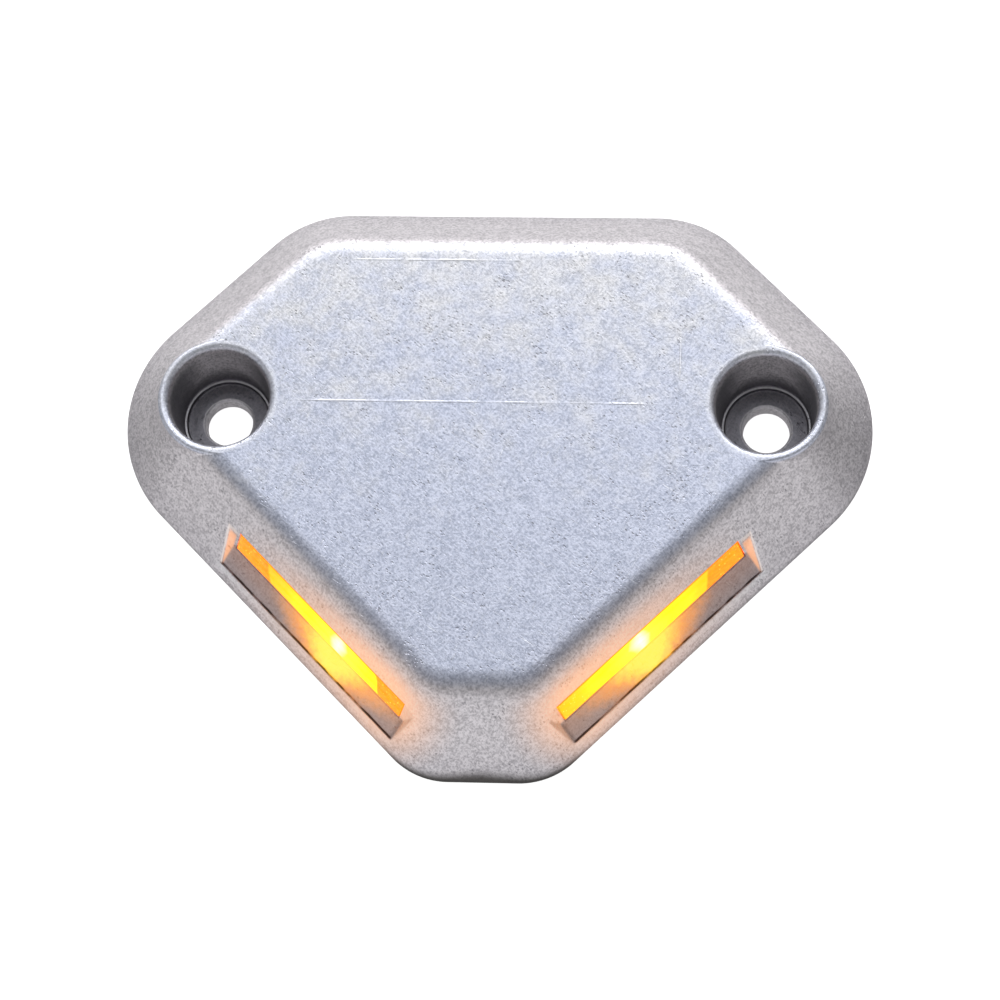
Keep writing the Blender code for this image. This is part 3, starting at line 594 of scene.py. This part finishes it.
def top_points(wells):
    """Plan points that carry the top: rows up the slope, a grid on the plateau, wells and recesses."""
    slope = ring_at(SLOPE_ROWS, step=0.7).reshape(-1, 2)
    grid = np.stack(np.meshgrid(GRID_X, GRID_Y), axis=-1).reshape(-1, 2)
    grid = grid[share_at(grid[:, 0], grid[:, 1]) * FLANK_INSET > GRID_INSET]
    spread = np.concatenate([slope, grid])
    reach = np.hypot(np.abs(spread[:, 0]) - BOLT_X, spread[:, 1] - BOLT_Y)
    along, inward = flank_plan(spread[:, 0], spread[:, 1])
    in_recess = (np.abs(along) < RECESS_AREA[0]) & (inward < RECESS_AREA[1]) & (spread[:, 1] < SHOULDER_Y)
    spread = spread[(reach > LIP_RADIUS + WELL_RINGS[-1] + WELL_GAP) & ~in_recess]
    around = np.concatenate([well[1:].reshape(-1, 2) for well in wells])
    around = around[share_at(around[:, 0], around[:, 1]) * FLANK_INSET > 1.3]
    recesses = np.concatenate([flank_to_plan(recess_points(), side) for side in (-1.0, 1.0)])
    return np.concatenate([spread, around, recesses])


def make_outer():
    """The housing as a full solid outside, with its bolt wells and recesses but no inner space."""
    rings, lifts = make_skirt()
    wells = [circle_points(LIP_RADIUS + WELL_RINGS, side) for side in (-1.0, 1.0)]
    plan, tris = fill_plan([rings[-1], wells[0][0], wells[1][0]], top_points(wells))
    top = np.column_stack([plan, outer_height(plan[:, 0], plan[:, 1])])
    patches = [skin(raised(rings, lifts)), (top, tris)]
    profile = well_profile()
    patches += [skin(raised(circle_points(profile[:, 0], side), profile[:, 1])) for side in (-1.0, 1.0)]
    holes = [circle_points(profile[-1:, 0], side)[0] for side in (-1.0, 1.0)]
    plan, tris = fill_plan([rings[0], *holes], np.zeros((0, 2)))
    patches.append((np.column_stack([plan, np.zeros(len(plan))]), tris[:, ::-1]))
    return solid("housing_shell", patches)


def evaluated(made):
    """The object with its modifiers worked out and dropped."""
    bpy.context.view_layer.update()
    data = bpy.data.meshes.new_from_object(made.evaluated_get(bpy.context.evaluated_depsgraph_get()))
    made.modifiers.clear()
    made.data = data
    return made


def boolean(target, tool, operation):
    """Cut the tool from the target, or join it on, and drop the tool."""
    step = target.modifiers.new(tool.name, "BOOLEAN")
    step.operation = operation
    step.solver = "EXACT"
    step.object = tool
    evaluated(target)
    bpy.data.objects.remove(tool, do_unlink=True)
    return target


def smooth(made, angle=32.0):
    """Smooth shading, with edges sharper than the angle left crisp."""
    made.data.shade_smooth()
    made.data.set_sharp_from_angle(angle=math.radians(angle))
    return made


# Mid-wall of the hollow engineering housing, from below the underside to under the roof, as
# (inset, height), and the post inside which each bolt well is left whole.
MID_WALL = np.array([(2.0, -1.0), (2.6, 4.0), (5.2, 7.0), (12.2, 15.5), (13.6, 16.8)])
GUARD_RADIUS = 10.4
GUARD_HEIGHT = (-2.0, 20.0)


def well_guard(side):
    """A post round one bolt well, which keeps the empty inside clear of it."""
    circle = circle_points(np.array([GUARD_RADIUS, GUARD_RADIUS]), side)
    return capped("well_guard", raised(circle, GUARD_HEIGHT))


def prism(name, along, inward, height, side):
    """A box between two values on each axis of one flank's plan."""
    corners = np.array([(along[0], inward[0]), (along[1], inward[0]), (along[1], inward[1]),
                        (along[0], inward[1])])
    plan = flank_to_plan(corners, side)
    return capped(name, raised(np.stack([plan, plan]), height))


def inner_space():
    """The housing's empty inside: a body out to mid-wall, less the engineering housing itself."""
    space = capped("inner_space", raised(ring_at(MID_WALL[:, 0], step=3.0), MID_WALL[:, 1]))
    for side in (-1.0, 1.0):
        boolean(space, well_guard(side), "DIFFERENCE")
    copy = bpy.data.objects.new("housing_copy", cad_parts["housing"].data.copy())
    bpy.context.scene.collection.objects.link(copy)
    bm = bmesh.new()
    bm.from_mesh(copy.data)
    bmesh.ops.remove_doubles(bm, verts=bm.verts, dist=1e-6)
    bm.to_mesh(copy.data)
    bm.free()
    return boolean(space, copy, "DIFFERENCE")


housing = make_outer()
boolean(housing, inner_space(), "DIFFERENCE")
for side in (-1.0, 1.0):
    slot = prism("slot", (-SLOT_HALF, SLOT_HALF), SLOT_DEPTH, SLOT_HEIGHT, side)
    boolean(housing, slot, "DIFFERENCE")
smooth(housing)


def flank_wires(at):
    """x, y, z of a wire in mm, and the same point in the plan of its own front flank."""
    x, y, z = (at.part(letter) * (1.0 / MM) for letter in "XYZ")
    from_corner = (DIAGONAL - abs(x)) * math.sqrt(0.5)
    drop = (SHOULDER_Y - y) * math.sqrt(0.5)
    return x, y, z, from_corner + drop - WINDOW_MIDDLE, from_corner - drop


# Where the lamp stands that shows brightest through each lens, along the flank towards the front.
LEFT_SPOT = 5.5
RIGHT_SPOT = 3.1


def lamp_offset(x, along):
    """Distance along a flank, forward of the lamp that shows brightest on that side."""
    return along - LEFT_SPOT + x.fade(-5.0, 5.0) * (LEFT_SPOT - RIGHT_SPOT)


def texture_wires(at):
    """Tumbled metal: grain, finer grain, dents, pits in patches, crossed strokes and long scratches."""
    grain = at.noise(1900.0, 3.0, 0.72)
    fine = at.noise(4600.0, 2.0, 0.6)
    dents = at.noise(800.0, 2.0, 0.5)
    pits = at.stretched((900.0, 1700.0, 1300.0), 0.8).cells(1.0).fade(0.30, 0.12)
    pits = pits * at.noise(240.0, 1.0).fade(0.50, 0.66)
    strokes = at.stretched((520.0, 4200.0, 1500.0), 0.75).noise(1.0, 2.0)
    strokes = strokes.most(at.stretched((480.0, 4600.0, 1500.0), -0.95).noise(1.0, 2.0))
    scratches = at.stretched((170.0, 5600.0, 400.0), 0.55).noise(1.0, 1.0).fade(0.72, 0.78)
    scratches = scratches.most(at.stretched((260.0, 5200.0, 400.0), 2.0).noise(1.0, 1.0).fade(0.73, 0.79))
    return grain, fine, dents, pits, strokes, scratches


# Faint straight lines that the die left on the plateau, in mm: whether they run along X, where
# they lie, the middle of their run and half its length.
WITNESS_LINES = ((True, 12.3, -3.2, 36.6), (False, 36.1, 24.4, 7.4), (True, 41.7, -11.6, 17.0))


def witness_wire(at, x, y):
    """The witness lines, eased at both ends and broken here and there."""
    marks = 0.0
    for runs_along_x, place, middle, half in WITNESS_LINES:
        run, across = (x, y) if runs_along_x else (y, x)
        mark = abs(across - place).fade(0.26, 0.08) * abs(run - middle).fade(half, half - 1.8)
        marks = mark.most(marks)
    return marks * (0.25 + at.noise(130.0, 2.0).fade(0.40, 0.60) * 0.75)


def metal_tone(at, y, z, top, grain, strokes):
    """Speckled metal: painted cool reflection on top, paler back as painted light, plainer slopes, foot in
    painted shade.
    """
    cloud = at.noise(190.0, 3.0, 0.6)
    blotch = at.noise(620.0, 3.0, 0.65, 0.6)
    speck = (grain * 0.62 + strokes * 0.40 + blotch * 0.24 - 0.15).fade(0.38, 0.60)
    # Painted reflection: the top's cool tone stands in for the cool overhead light that it reflects.
    cool = speck.between((0.365, 0.395, 0.495), (0.61, 0.64, 0.76))
    warm = speck.between((0.475, 0.475, 0.495), (0.75, 0.745, 0.765))
    # Painted light: the top turns paler towards the back, mixed with cloudy patches of tone.
    plate = (cloud * 0.8 + y * 0.007).fade(0.34, 0.90).between(cool, warm)
    plain = speck.between((0.46, 0.44, 0.465), (0.80, 0.765, 0.80))
    # Painted shade: the slopes darken towards the foot.
    foot_shade_tone = speck.between((0.42, 0.40, 0.43), (0.73, 0.70, 0.735))
    return top.between(z.fade(3.0, 9.5).between(foot_shade_tone, plain), plate)


def well_tone(tone, x, y, z, grain):
    """Bolt wells: painted shade down their sides, and rubbed rings with painted highlight at mouth, ledge and
    hole.
    """
    reach = ((abs(x) - BOLT_X) ** 2.0 + (y - BOLT_Y) ** 2.0).root()
    # Painted shade down each well's sides; the same mask also darkens a ring round each hole on the
    # underside.
    well = reach.fade(10.1, 9.5) * reach.fade(4.8, 5.3) * z.fade(17.6, 15.0)
    shaded = abs(abs(x) - BOLT_X).fade(3.0, 8.5).most(z.fade(11.5, 5.0))
    tone = (well * shaded * 0.80).between(tone, (0.10, 0.10, 0.12))
    # The bright rings are partly rubbed wear and partly painted highlight.
    rubbed = abs(reach - 10.9).fade(1.0, 0.3) * z.fade(16.0, 17.0) * 0.45
    rubbed = rubbed.most(abs(reach - 8.40).fade(0.24, 0.10) * z.fade(4.4, 4.6) * z.fade(5.2, 5.0))
    rubbed = rubbed.most(abs(reach - 4.84).fade(0.30, 0.12) * z.fade(3.1, 3.3))
    return (rubbed * (0.30 + grain * 0.5)).between(tone, (0.90, 0.90, 0.93))


def window_tone(tone, at, x, y, z, along, inward, grain, dents):
    """Metal round a window: its tone, the amber light painted on it, and the crevice at the floor's lip.

    The painted light falls off with the distance from the window's middle line. The floor is painted
    dark brown as shade, and painted orange and then yellow as lamp light in front of the bright lamp,
    furthest out beside the lens. The flared rear end faces the lamp and is painted orange as its light,
    with a painted highlight on its rim. The crevice is painted dark as shade, and the outer lip's pale
    band is partly rubbed wear and partly painted highlight.
    """
    front = y.fade(SHOULDER_Y, SHOULDER_Y - 4.0)
    # Painted light: the lamps' amber glow, painted on the metal round the window in its colour and its
    # emission.
    away = ((abs(along) - 19.0).most(0.0) ** 2.0 + (inward - 6.4) ** 2.0 + (z - 9.8) ** 2.0).root()
    glow = away.fade(17.0, 1.5) * along.fade(-30.0, 20.0) * z.fade(19.5, 13.5) * front
    floor = inward.fade(1.7, 2.0) * inward.fade(8.2, 7.6) * z.fade(8.4, 7.6)
    floor = floor * abs(along).fade(25.2, 24.4) * front
    glow = glow * (1.0 - floor * 0.75)
    near_lens = inward.fade(0.6, 5.6)
    spot = abs(lamp_offset(x, along)) + (dents - 0.5) * 4.0
    # Painted light: the lamp's light on the floor, yellow in front of the bright lamp and orange further off.
    lit_floor = (spot - near_lens * 6.0).fade(5.0, -2.5) * floor
    warm_floor = (spot - near_lens * 9.0).fade(11.5, -1.0) * floor
    crevice_wobble = at.noise(260.0, 2.0)
    # Painted shade: a dark line in the crease at the floor's lip, wobbled and broken up by noise.
    crevice = (abs(inward - 1.90 - (crevice_wobble - 0.5) * 0.30) - (grain - 0.5) * 0.2).fade(0.30, 0.06)
    crevice = crevice * abs(along).fade(24.9, 24.3) * z.fade(5.6, 4.9) * front
    crevice = crevice * (0.30 + crevice_wobble.fade(0.36, 0.58) * 0.60)
    # Painted light on the flared rear end, which faces the lamp: orange over its face, with a painted
    # highlight along its rim.
    depth = inward * RISE + FOOT - z
    rear_end = along.fade(-23.9, -24.5) * along.fade(-28.4, -27.8) * front
    rear_end = rear_end * inward.fade(1.3, 2.0) * inward.fade(9.0, 8.4)
    facet = depth.fade(0.25, 0.70) * rear_end
    rim = abs(depth - 0.22).fade(0.20, 0.05) * rear_end
    # The pale band along the outer lip is partly rubbed wear and partly painted highlight.
    lip = inward.fade(0.7, 1.1) * inward.fade(1.75, 1.5) * z.fade(2.0, 3.0) * front
    lip = lip * abs(along).fade(26.5, 24.5)
    tone = (lip * 0.7 * (0.30 + grain * 0.5)).between(tone, (0.90, 0.90, 0.93))
    # The floor is painted dark brown as shade, turning orange towards the lens as painted lamp light.
    tone = (floor * 0.62).between(tone, near_lens.between((0.30, 0.25, 0.26), (0.42, 0.19, 0.11)))
    tone = (glow * 0.75).between(tone, (1.0, 0.60, 0.36))
    tone = (warm_floor * 0.6).between(tone, (0.95, 0.42, 0.06))
    tone = (crevice * 0.9).between(tone, (0.08, 0.05, 0.04))
    tone = (facet * 0.8).between(tone, (1.0, 0.55, 0.33))
    tone = (rim * 0.8).between(tone, (0.98, 0.88, 0.84))
    # Emission painted as light: the glow, the rear end and the lit floor, and none in the crevice's painted
    # shade.
    light = (glow ** 1.5).between((0.0, 0.0, 0.0), (0.42, 0.17, 0.07))
    light = facet.between(light, (0.24, 0.09, 0.03))
    light = warm_floor.between(light, (0.52, 0.16, 0.02))
    light = lit_floor.between(light, (1.0, 0.66, 0.03))
    light = crevice.between(light, (0.0, 0.0, 0.0))
    return tone, light, crevice


def cast_finish():
    """Tumbled casting: speckled, scratched, pitted metal with painted shade in its wells and painted amber
    light.
    """
    finish = Finish("tumbled_casting", Metallic=0.90, Emission_Strength=1.0)
    at = finish.where
    x, y, z, along, inward = flank_wires(at)
    grain, fine, dents, pits, strokes, scratches = texture_wires(at)
    top = z.fade(17.3, 18.4)
    witness = witness_wire(at, x, y) * top
    tone = metal_tone(at, y, z, top, grain, strokes)
    tone = (scratches * 0.45).between(tone, (0.95, 0.96, 0.97))
    tone = (witness * 0.40).between(tone, (0.95, 0.95, 0.98))
    tone = (pits * 0.42).between(tone, (0.22, 0.22, 0.25))
    tone = well_tone(tone, x, y, z, grain)
    tone, light, crevice = window_tone(tone, at, x, y, z, along, inward, grain, dents)
    # The foot of the short front face is painted dark as shade, most of all in its middle.
    front_foot_shade = (z + abs(x) * 0.07).fade(4.6, 2.3) * y.fade(-50.0, -55.0)
    tone = (front_foot_shade * 0.92).between(tone, (0.05, 0.045, 0.04))
    height = grain * 0.60 + fine * 0.22 + dents * 0.45 + strokes * 0.30 - pits * 0.9 - scratches * 0.35
    height = height + witness * 0.5 - crevice * 1.6
    finish.set(Base_Color=tone, Roughness=0.32 + grain * 0.18 - scratches * 0.10 + (1.0 - top) * 0.04,
               Normal=at.bump(height, 0.00010), Emission_Color=light)
    return finish.material


housing.data.materials.clear()
housing.data.materials.append(cast_finish())
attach(housing, "root")
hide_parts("housing")


# ---- Lens bars --------------------------------------------------------------------------------
# A clear amber bar moulded with a wide flange, pushed out through the slot from inside until the
# flange meets its seat. Its face leans back with the recess, and three lamps light it from behind.
LENS_HALF = 23.45
LENS_LOW = 7.55
LENS_HIGH = 11.9
LENS_EDGE = 0.28
FLANGE_PLACE = (11.5, 12.7)
FLANGE_HEIGHT = (5.6, 13.6)
FLANGE_HALF = 24.5
BAR_BACK = 12.1


def lens_section(back):
    """Section of the bar as (inward, height): flat sides, a leaning face, and rounded face corners.

    back moves the face inward along its own normal, as it must towards the rounded ends.
    """
    run = (LENS_HEAD[0] - LENS_FOOT[0]) / (LENS_HEAD[1] - LENS_FOOT[1])
    lean = math.atan2(1.0, run)
    face_turn = -90.0 - math.degrees(lean)
    points = [(BAR_BACK, LENS_LOW)]
    for level, first, last in ((LENS_LOW, -90.0, face_turn), (LENS_HIGH, face_turn, -270.0)):
        face = LENS_FOOT[0] + (level - LENS_FOOT[1]) * run + back / math.sin(lean)
        inside = LENS_EDGE if level == LENS_LOW else -LENS_EDGE
        middle = face + inside * run + LENS_EDGE / math.sin(lean)
        for turn in np.radians(np.linspace(first, last, 5)):
            points.append((middle + LENS_EDGE * math.cos(turn), level + inside + LENS_EDGE * math.sin(turn)))
    points.append((BAR_BACK, LENS_HIGH))
    return np.array(points)


def make_lens(side, name):
    """One bar: its section carried along the flank, drawn back at both ends, joined to its flange."""
    ease = LENS_EDGE * (1.0 - np.cos(np.linspace(0.0, math.pi / 2.0, 6)))
    ends = LENS_HALF - LENS_EDGE + np.sqrt(LENS_EDGE ** 2 - (LENS_EDGE - ease[::-1]) ** 2)
    reach = np.concatenate([np.linspace(0.0, LENS_HALF - LENS_EDGE, 24), ends[1:]])
    reach = np.concatenate([-reach[:0:-1], reach])
    drawn = LENS_EDGE - np.sqrt(np.maximum(
        LENS_EDGE ** 2 - np.maximum(np.abs(reach) - LENS_HALF + LENS_EDGE, 0.0) ** 2, 0.0))
    rings = []
    for place, back in zip(reach, drawn):
        inward, height = lens_section(back).T
        plan = flank_to_plan(np.column_stack([np.full_like(inward, place), inward]), side)
        rings.append(np.column_stack([plan, height]))
    bar = capped(name, np.stack(rings))
    boolean(bar, prism("flange", (-FLANGE_HALF, FLANGE_HALF), FLANGE_PLACE, FLANGE_HEIGHT, side), "UNION")
    return smooth(bar, 40.0)


def lens_finish():
    """Lit amber: orange ends, a bright yellow length, a white spot over the nearest lamp, tiny bubbles.

    Brightness falls off along the bar from the lamp, and steps down where the lamp's tray ends;
    a thin red line follows the edges of the face.
    """
    finish = Finish("lit_amber_lens", Emission_Strength=1.25, IOR=1.49, Specular_IOR_Level=0.2,
                    Coat_Roughness=0.05)
    at = finish.where
    x, _, z, along, _ = flank_wires(at)
    wobble = at.noise(260.0, 2.0) - 0.5
    streak = at.stretched((700.0, 700.0, 2500.0)).noise(1.0, 2.0)
    height = z - (LENS_LOW + LENS_HIGH) / 2.0
    reach = abs(lamp_offset(x, along) + wobble * 2.0) * 0.04 + abs(height) * 0.02
    colour = reach.ramp((0.0, (1.0, 1.0, 0.85)), (0.05, (1.0, 1.0, 0.62)), (0.11, (1.0, 0.98, 0.05)),
                        (0.34, (1.0, 0.90, 0.0)), (0.62, (1.0, 0.52, 0.0)), (1.0, (1.0, 0.26, 0.0)))
    tray = abs(along - 1.0 + wobble * 1.5 + height * 0.5).fade(15.8, 15.2)
    tray = tray.most(x.fade(-1.0, 1.0) * along.fade(-1.0, 1.0))
    colour = tray.between((1.0, 0.16, 0.0), colour)
    bubbles = at.cells(1150.0).fade(0.24, 0.16) * abs(along).fade(15.5, 18.5)
    edge = (abs(height) - (LENS_HIGH - LENS_LOW) / 2.0).fade(-0.30, -0.02)
    edge = edge.most((abs(along) - LENS_HALF).fade(-0.32, -0.04))
    colour = (streak.fade(0.35, 0.65) * 0.12).between(colour, (1.0, 0.62, 0.0))
    colour = (bubbles * 0.5).between(colour, (1.0, 0.85, 0.10))
    colour = (edge * 0.85).between(colour, (0.62, 0.14, 0.0))
    finish.set(Base_Color=streak.between((0.80, 0.20, 0.0), (0.95, 0.32, 0.01)), Emission_Color=colour,
               Roughness=0.10 + streak * 0.10, Coat_Weight=0.15 + streak * 0.35,
               Normal=at.bump(bubbles * -1.0 + streak * 0.2, 0.00008, 0.6))
    return finish.material


LENS_GLASS = lens_finish()
for side, side_name in ((-1.0, "left"), (1.0, "right")):
    bar = make_lens(side, "lens_bar_" + side_name)
    bar.data.materials.clear()
    bar.data.materials.append(LENS_GLASS)
    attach(bar, "root")
    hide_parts("lens_" + side_name)


# ---- Base cover and its screws ----------------------------------------------------------------
# A pressed sheet plate let into the underside, brushed in one direction, held by six countersunk
# steel screws with cross recesses, and sealed by a thin silicone ring that shows at its edge.
def dress(material, *nodes):
    """Give engineering nodes their finish."""
    for name in nodes:
        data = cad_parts[name].data
        data.materials.clear()
        data.materials.append(material)


def sheet_finish():
    """Brushed sheet: long fine lines along X over slow clouds, with a few handling marks."""
    finish = Finish("brushed_sheet", Metallic=0.95)
    at = finish.where
    lines = at.stretched((90.0, 7000.0, 7000.0)).noise(1.0, 3.0, 0.6)
    cloud = at.noise(60.0, 3.0)
    marks = at.stretched((160.0, 3000.0, 3000.0), 0.9).noise(1.0, 1.0).fade(0.70, 0.78)
    tone = lines.fade(0.3, 0.7).between((0.50, 0.50, 0.51), (0.70, 0.70, 0.71))
    tone = (cloud.fade(0.45, 0.70) * 0.35).between(tone, (0.44, 0.44, 0.45))
    tone = (marks * 0.5).between(tone, (0.85, 0.85, 0.86))
    finish.set(Base_Color=tone, Roughness=0.30 + lines * 0.16 + cloud * 0.06,
               Normal=at.bump(lines + marks * 0.6, 0.00003, 0.7))
    return finish.material


def rubber_finish():
    """Black silicone: matt and slightly dusty, with a fine moulded grain."""
    finish = Finish("black_silicone_rubber")
    at = finish.where
    grain = at.noise(2400.0, 2.0)
    dust = at.noise(300.0, 3.0).fade(0.50, 0.75)
    tone = grain.between((0.018, 0.018, 0.020), (0.045, 0.045, 0.047))
    tone = (dust * 0.35).between(tone, (0.12, 0.12, 0.12))
    finish.set(Base_Color=tone, Roughness=0.62 + grain * 0.2 + dust * 0.1,
               Normal=at.bump(grain, 0.00003, 0.6))
    return finish.material


def plated_finish(name, low, high, tint):
    """Bright plating: fine turning lines round each piece's height, slow clouds of tint, small nicks."""
    finish = Finish(name, Metallic=1.0)
    at = finish.where
    lines = at.stretched((500.0, 500.0, 9000.0)).noise(1.0, 2.0)
    cloud = at.noise(420.0, 3.0)
    nicks = at.noise(2600.0, 1.0).fade(0.68, 0.78)
    tone = lines.fade(0.3, 0.7).between(low, high)
    tone = (cloud.fade(0.42, 0.68) * 0.4).between(tone, tint)
    tone = (nicks * 0.4).between(tone, (0.25, 0.25, 0.26))
    finish.set(Base_Color=tone, Roughness=0.20 + lines * 0.12 + cloud * 0.1,
               Normal=at.bump(lines - nicks * 0.8, 0.00002, 0.7))
    return finish.material


RUBBER = rubber_finish()
STEEL = plated_finish("zinc_plated_steel", (0.46, 0.47, 0.49), (0.66, 0.67, 0.69), (0.58, 0.56, 0.50))
dress(sheet_finish(), "base_cover")
dress(RUBBER, "base_gasket")
dress(STEEL, *[f"cover_screw_{number}" for number in range(1, 7)])


# ---- Cable gland ------------------------------------------------------------------------------
# A low gland of nickel-plated brass in the floor of the cover's cable well, with a lock nut
# inside and a rubber seal in its bore.
dress(plated_finish("nickel_plated_brass", (0.52, 0.49, 0.42), (0.74, 0.71, 0.63), (0.60, 0.52, 0.36)),
      "cable_gland_body", "cable_gland_nut")
dress(RUBBER, "cable_gland_seal")


# ---- Window clamps and light boards -----------------------------------------------------------
# Behind each lens: a silicone gasket, a steel retainer plate, and a white board with three amber
# lamps, all clamped by two small screws.
def laminate_finish(name, mask_low, mask_high, track):
    """Printed board: solder mask over a woven glass sheet, with raised tracks and small round pads."""
    finish = Finish(name, Coat_Weight=0.3, Coat_Roughness=0.25)
    at = finish.where
    weave = at.node("ShaderNodeTexChecker", None, {"Vector": at, "Scale": 1800.0}, 1)
    tracks = abs(at.cells(260.0, "CHEBYCHEV") - 0.34).fade(0.07, 0.03)
    pads = at.cells(330.0).fade(0.16, 0.10)
    shade = at.noise(500.0, 2.0)
    tone = shade.between(mask_low, mask_high)
    tone = (tracks * 0.5).between(tone, track)
    tone = (pads * 0.8).between(tone, (0.62, 0.62, 0.60))
    finish.set(Base_Color=tone, Roughness=0.34 + shade * 0.12 - pads * 0.1,
               Normal=at.bump(tracks * 0.7 + pads + weave * 0.15, 0.00004, 0.8))
    return finish.material


LAMP_MIDDLE = 9.6


def lamp_finish():
    """Lit lamp: a pale body with a glowing yellow middle, brighter where the phosphor is thick."""
    finish = Finish("amber_lamp", Emission_Strength=2.0)
    at = finish.where
    cloud = at.noise(1500.0, 2.0)
    core = abs(at.part("Z") * (1.0 / MM) - LAMP_MIDDLE).fade(1.3, 0.5)
    tone = cloud.between((0.92, 0.60, 0.12), (1.0, 0.78, 0.30))
    light = cloud.between((1.0, 0.50, 0.05), (1.0, 0.68, 0.16))
    finish.set(Base_Color=core.between((0.80, 0.78, 0.70), tone), Roughness=0.3 + cloud * 0.15,
               Emission_Color=core.between((0.05, 0.02, 0.0), light), Normal=at.bump(cloud, 0.00003, 0.5))
    return finish.material


LAMP = lamp_finish()
WHITE_BOARD = laminate_finish("white_laminate_board", (0.76, 0.76, 0.73), (0.86, 0.86, 0.84),
                              (0.66, 0.66, 0.62))
for side_name in ("left", "right"):
    dress(RUBBER, "lens_gasket_" + side_name)
    dress(STEEL, "lens_retainer_" + side_name, *[f"clamp_screw_{side_name}_{n}" for n in (1, 2)])
    dress(WHITE_BOARD, "led_board_" + side_name)
    dress(LAMP, *[f"led_{side_name}_{n}" for n in (1, 2, 3)])


# ---- Driver board, components and leads -------------------------------------------------------
# A green board hung from four posts under the roof, with moulded and dipped components on its
# lower face, a small wound coil, and two insulated leads to each light board.
def moulded_finish(name, low, high, depth=0.00004, gloss=0.42):
    """Moulded or dipped plastic: fine spark texture, slow shade, a few rubbed bright spots."""
    finish = Finish(name, Coat_Weight=0.1)
    at = finish.where
    spark = at.noise(3000.0, 2.0, 0.6)
    shade = at.noise(350.0, 2.0)
    rubbed = at.noise(900.0, 1.0).fade(0.66, 0.76)
    tone = (shade * 0.6 + spark * 0.4).fade(0.3, 0.7).between(low, high)
    finish.set(Base_Color=tone, Roughness=gloss + spark * 0.16 - rubbed * 0.12,
               Normal=at.bump(spark - rubbed * 0.4, depth, 0.6))
    return finish.material


def winding_finish():
    """Enamelled wire wound round the coil: close even turns up its height, with the gaps painted darker as
    shade.
    """
    finish = Finish("wound_copper", Metallic=0.85)
    at = finish.where
    turns = at.node("ShaderNodeTexWave", {"bands_direction": "Z"},
                    {"Vector": at, "Scale": 640.0, "Distortion": 0.6, "Detail": 1.0}, 1)
    shade = at.noise(700.0, 2.0)
    # Painted shade: the wire darkens into the gaps between its turns.
    tone = turns.between((0.22, 0.07, 0.03), (0.72, 0.30, 0.13))
    finish.set(Base_Color=(shade.fade(0.5, 0.7) * 0.3).between(tone, (0.50, 0.16, 0.06)),
               Roughness=0.28 + shade * 0.12, Normal=at.bump(turns, 0.00012, 0.8))
    return finish.material


dress(laminate_finish("green_laminate_board", (0.010, 0.105, 0.035), (0.022, 0.170, 0.062),
                      (0.06, 0.26, 0.11)), "driver_board")
dress(STEEL, *[f"board_screw_{number}" for number in range(1, 5)])
dress(moulded_finish("black_moulded_case", (0.014, 0.014, 0.016), (0.036, 0.036, 0.038)),
      "bridge_rectifier", "driver_chip", "smoothing_capacitor")
dress(moulded_finish("white_connector_body", (0.70, 0.69, 0.63), (0.82, 0.81, 0.76)),
      "led_connector_left", "led_connector_right")
dress(moulded_finish("green_terminal_body", (0.03, 0.24, 0.09), (0.07, 0.36, 0.15)), "terminal_block")
dress(moulded_finish("yellow_film_box", (0.66, 0.46, 0.04), (0.82, 0.62, 0.09)), "film_capacitor")
dress(moulded_finish("blue_dipped_disc", (0.03, 0.11, 0.38), (0.07, 0.19, 0.52), 0.00006, 0.30), "surge_disc")
dress(winding_finish(), "choke_coil")
dress(moulded_finish("red_lead_sleeve", (0.46, 0.02, 0.02), (0.62, 0.04, 0.04)),
      "led_lead_left_1", "led_lead_right_1")
dress(moulded_finish("black_lead_sleeve", (0.016, 0.016, 0.016), (0.035, 0.035, 0.035)),
      "led_lead_left_2", "led_lead_right_2")
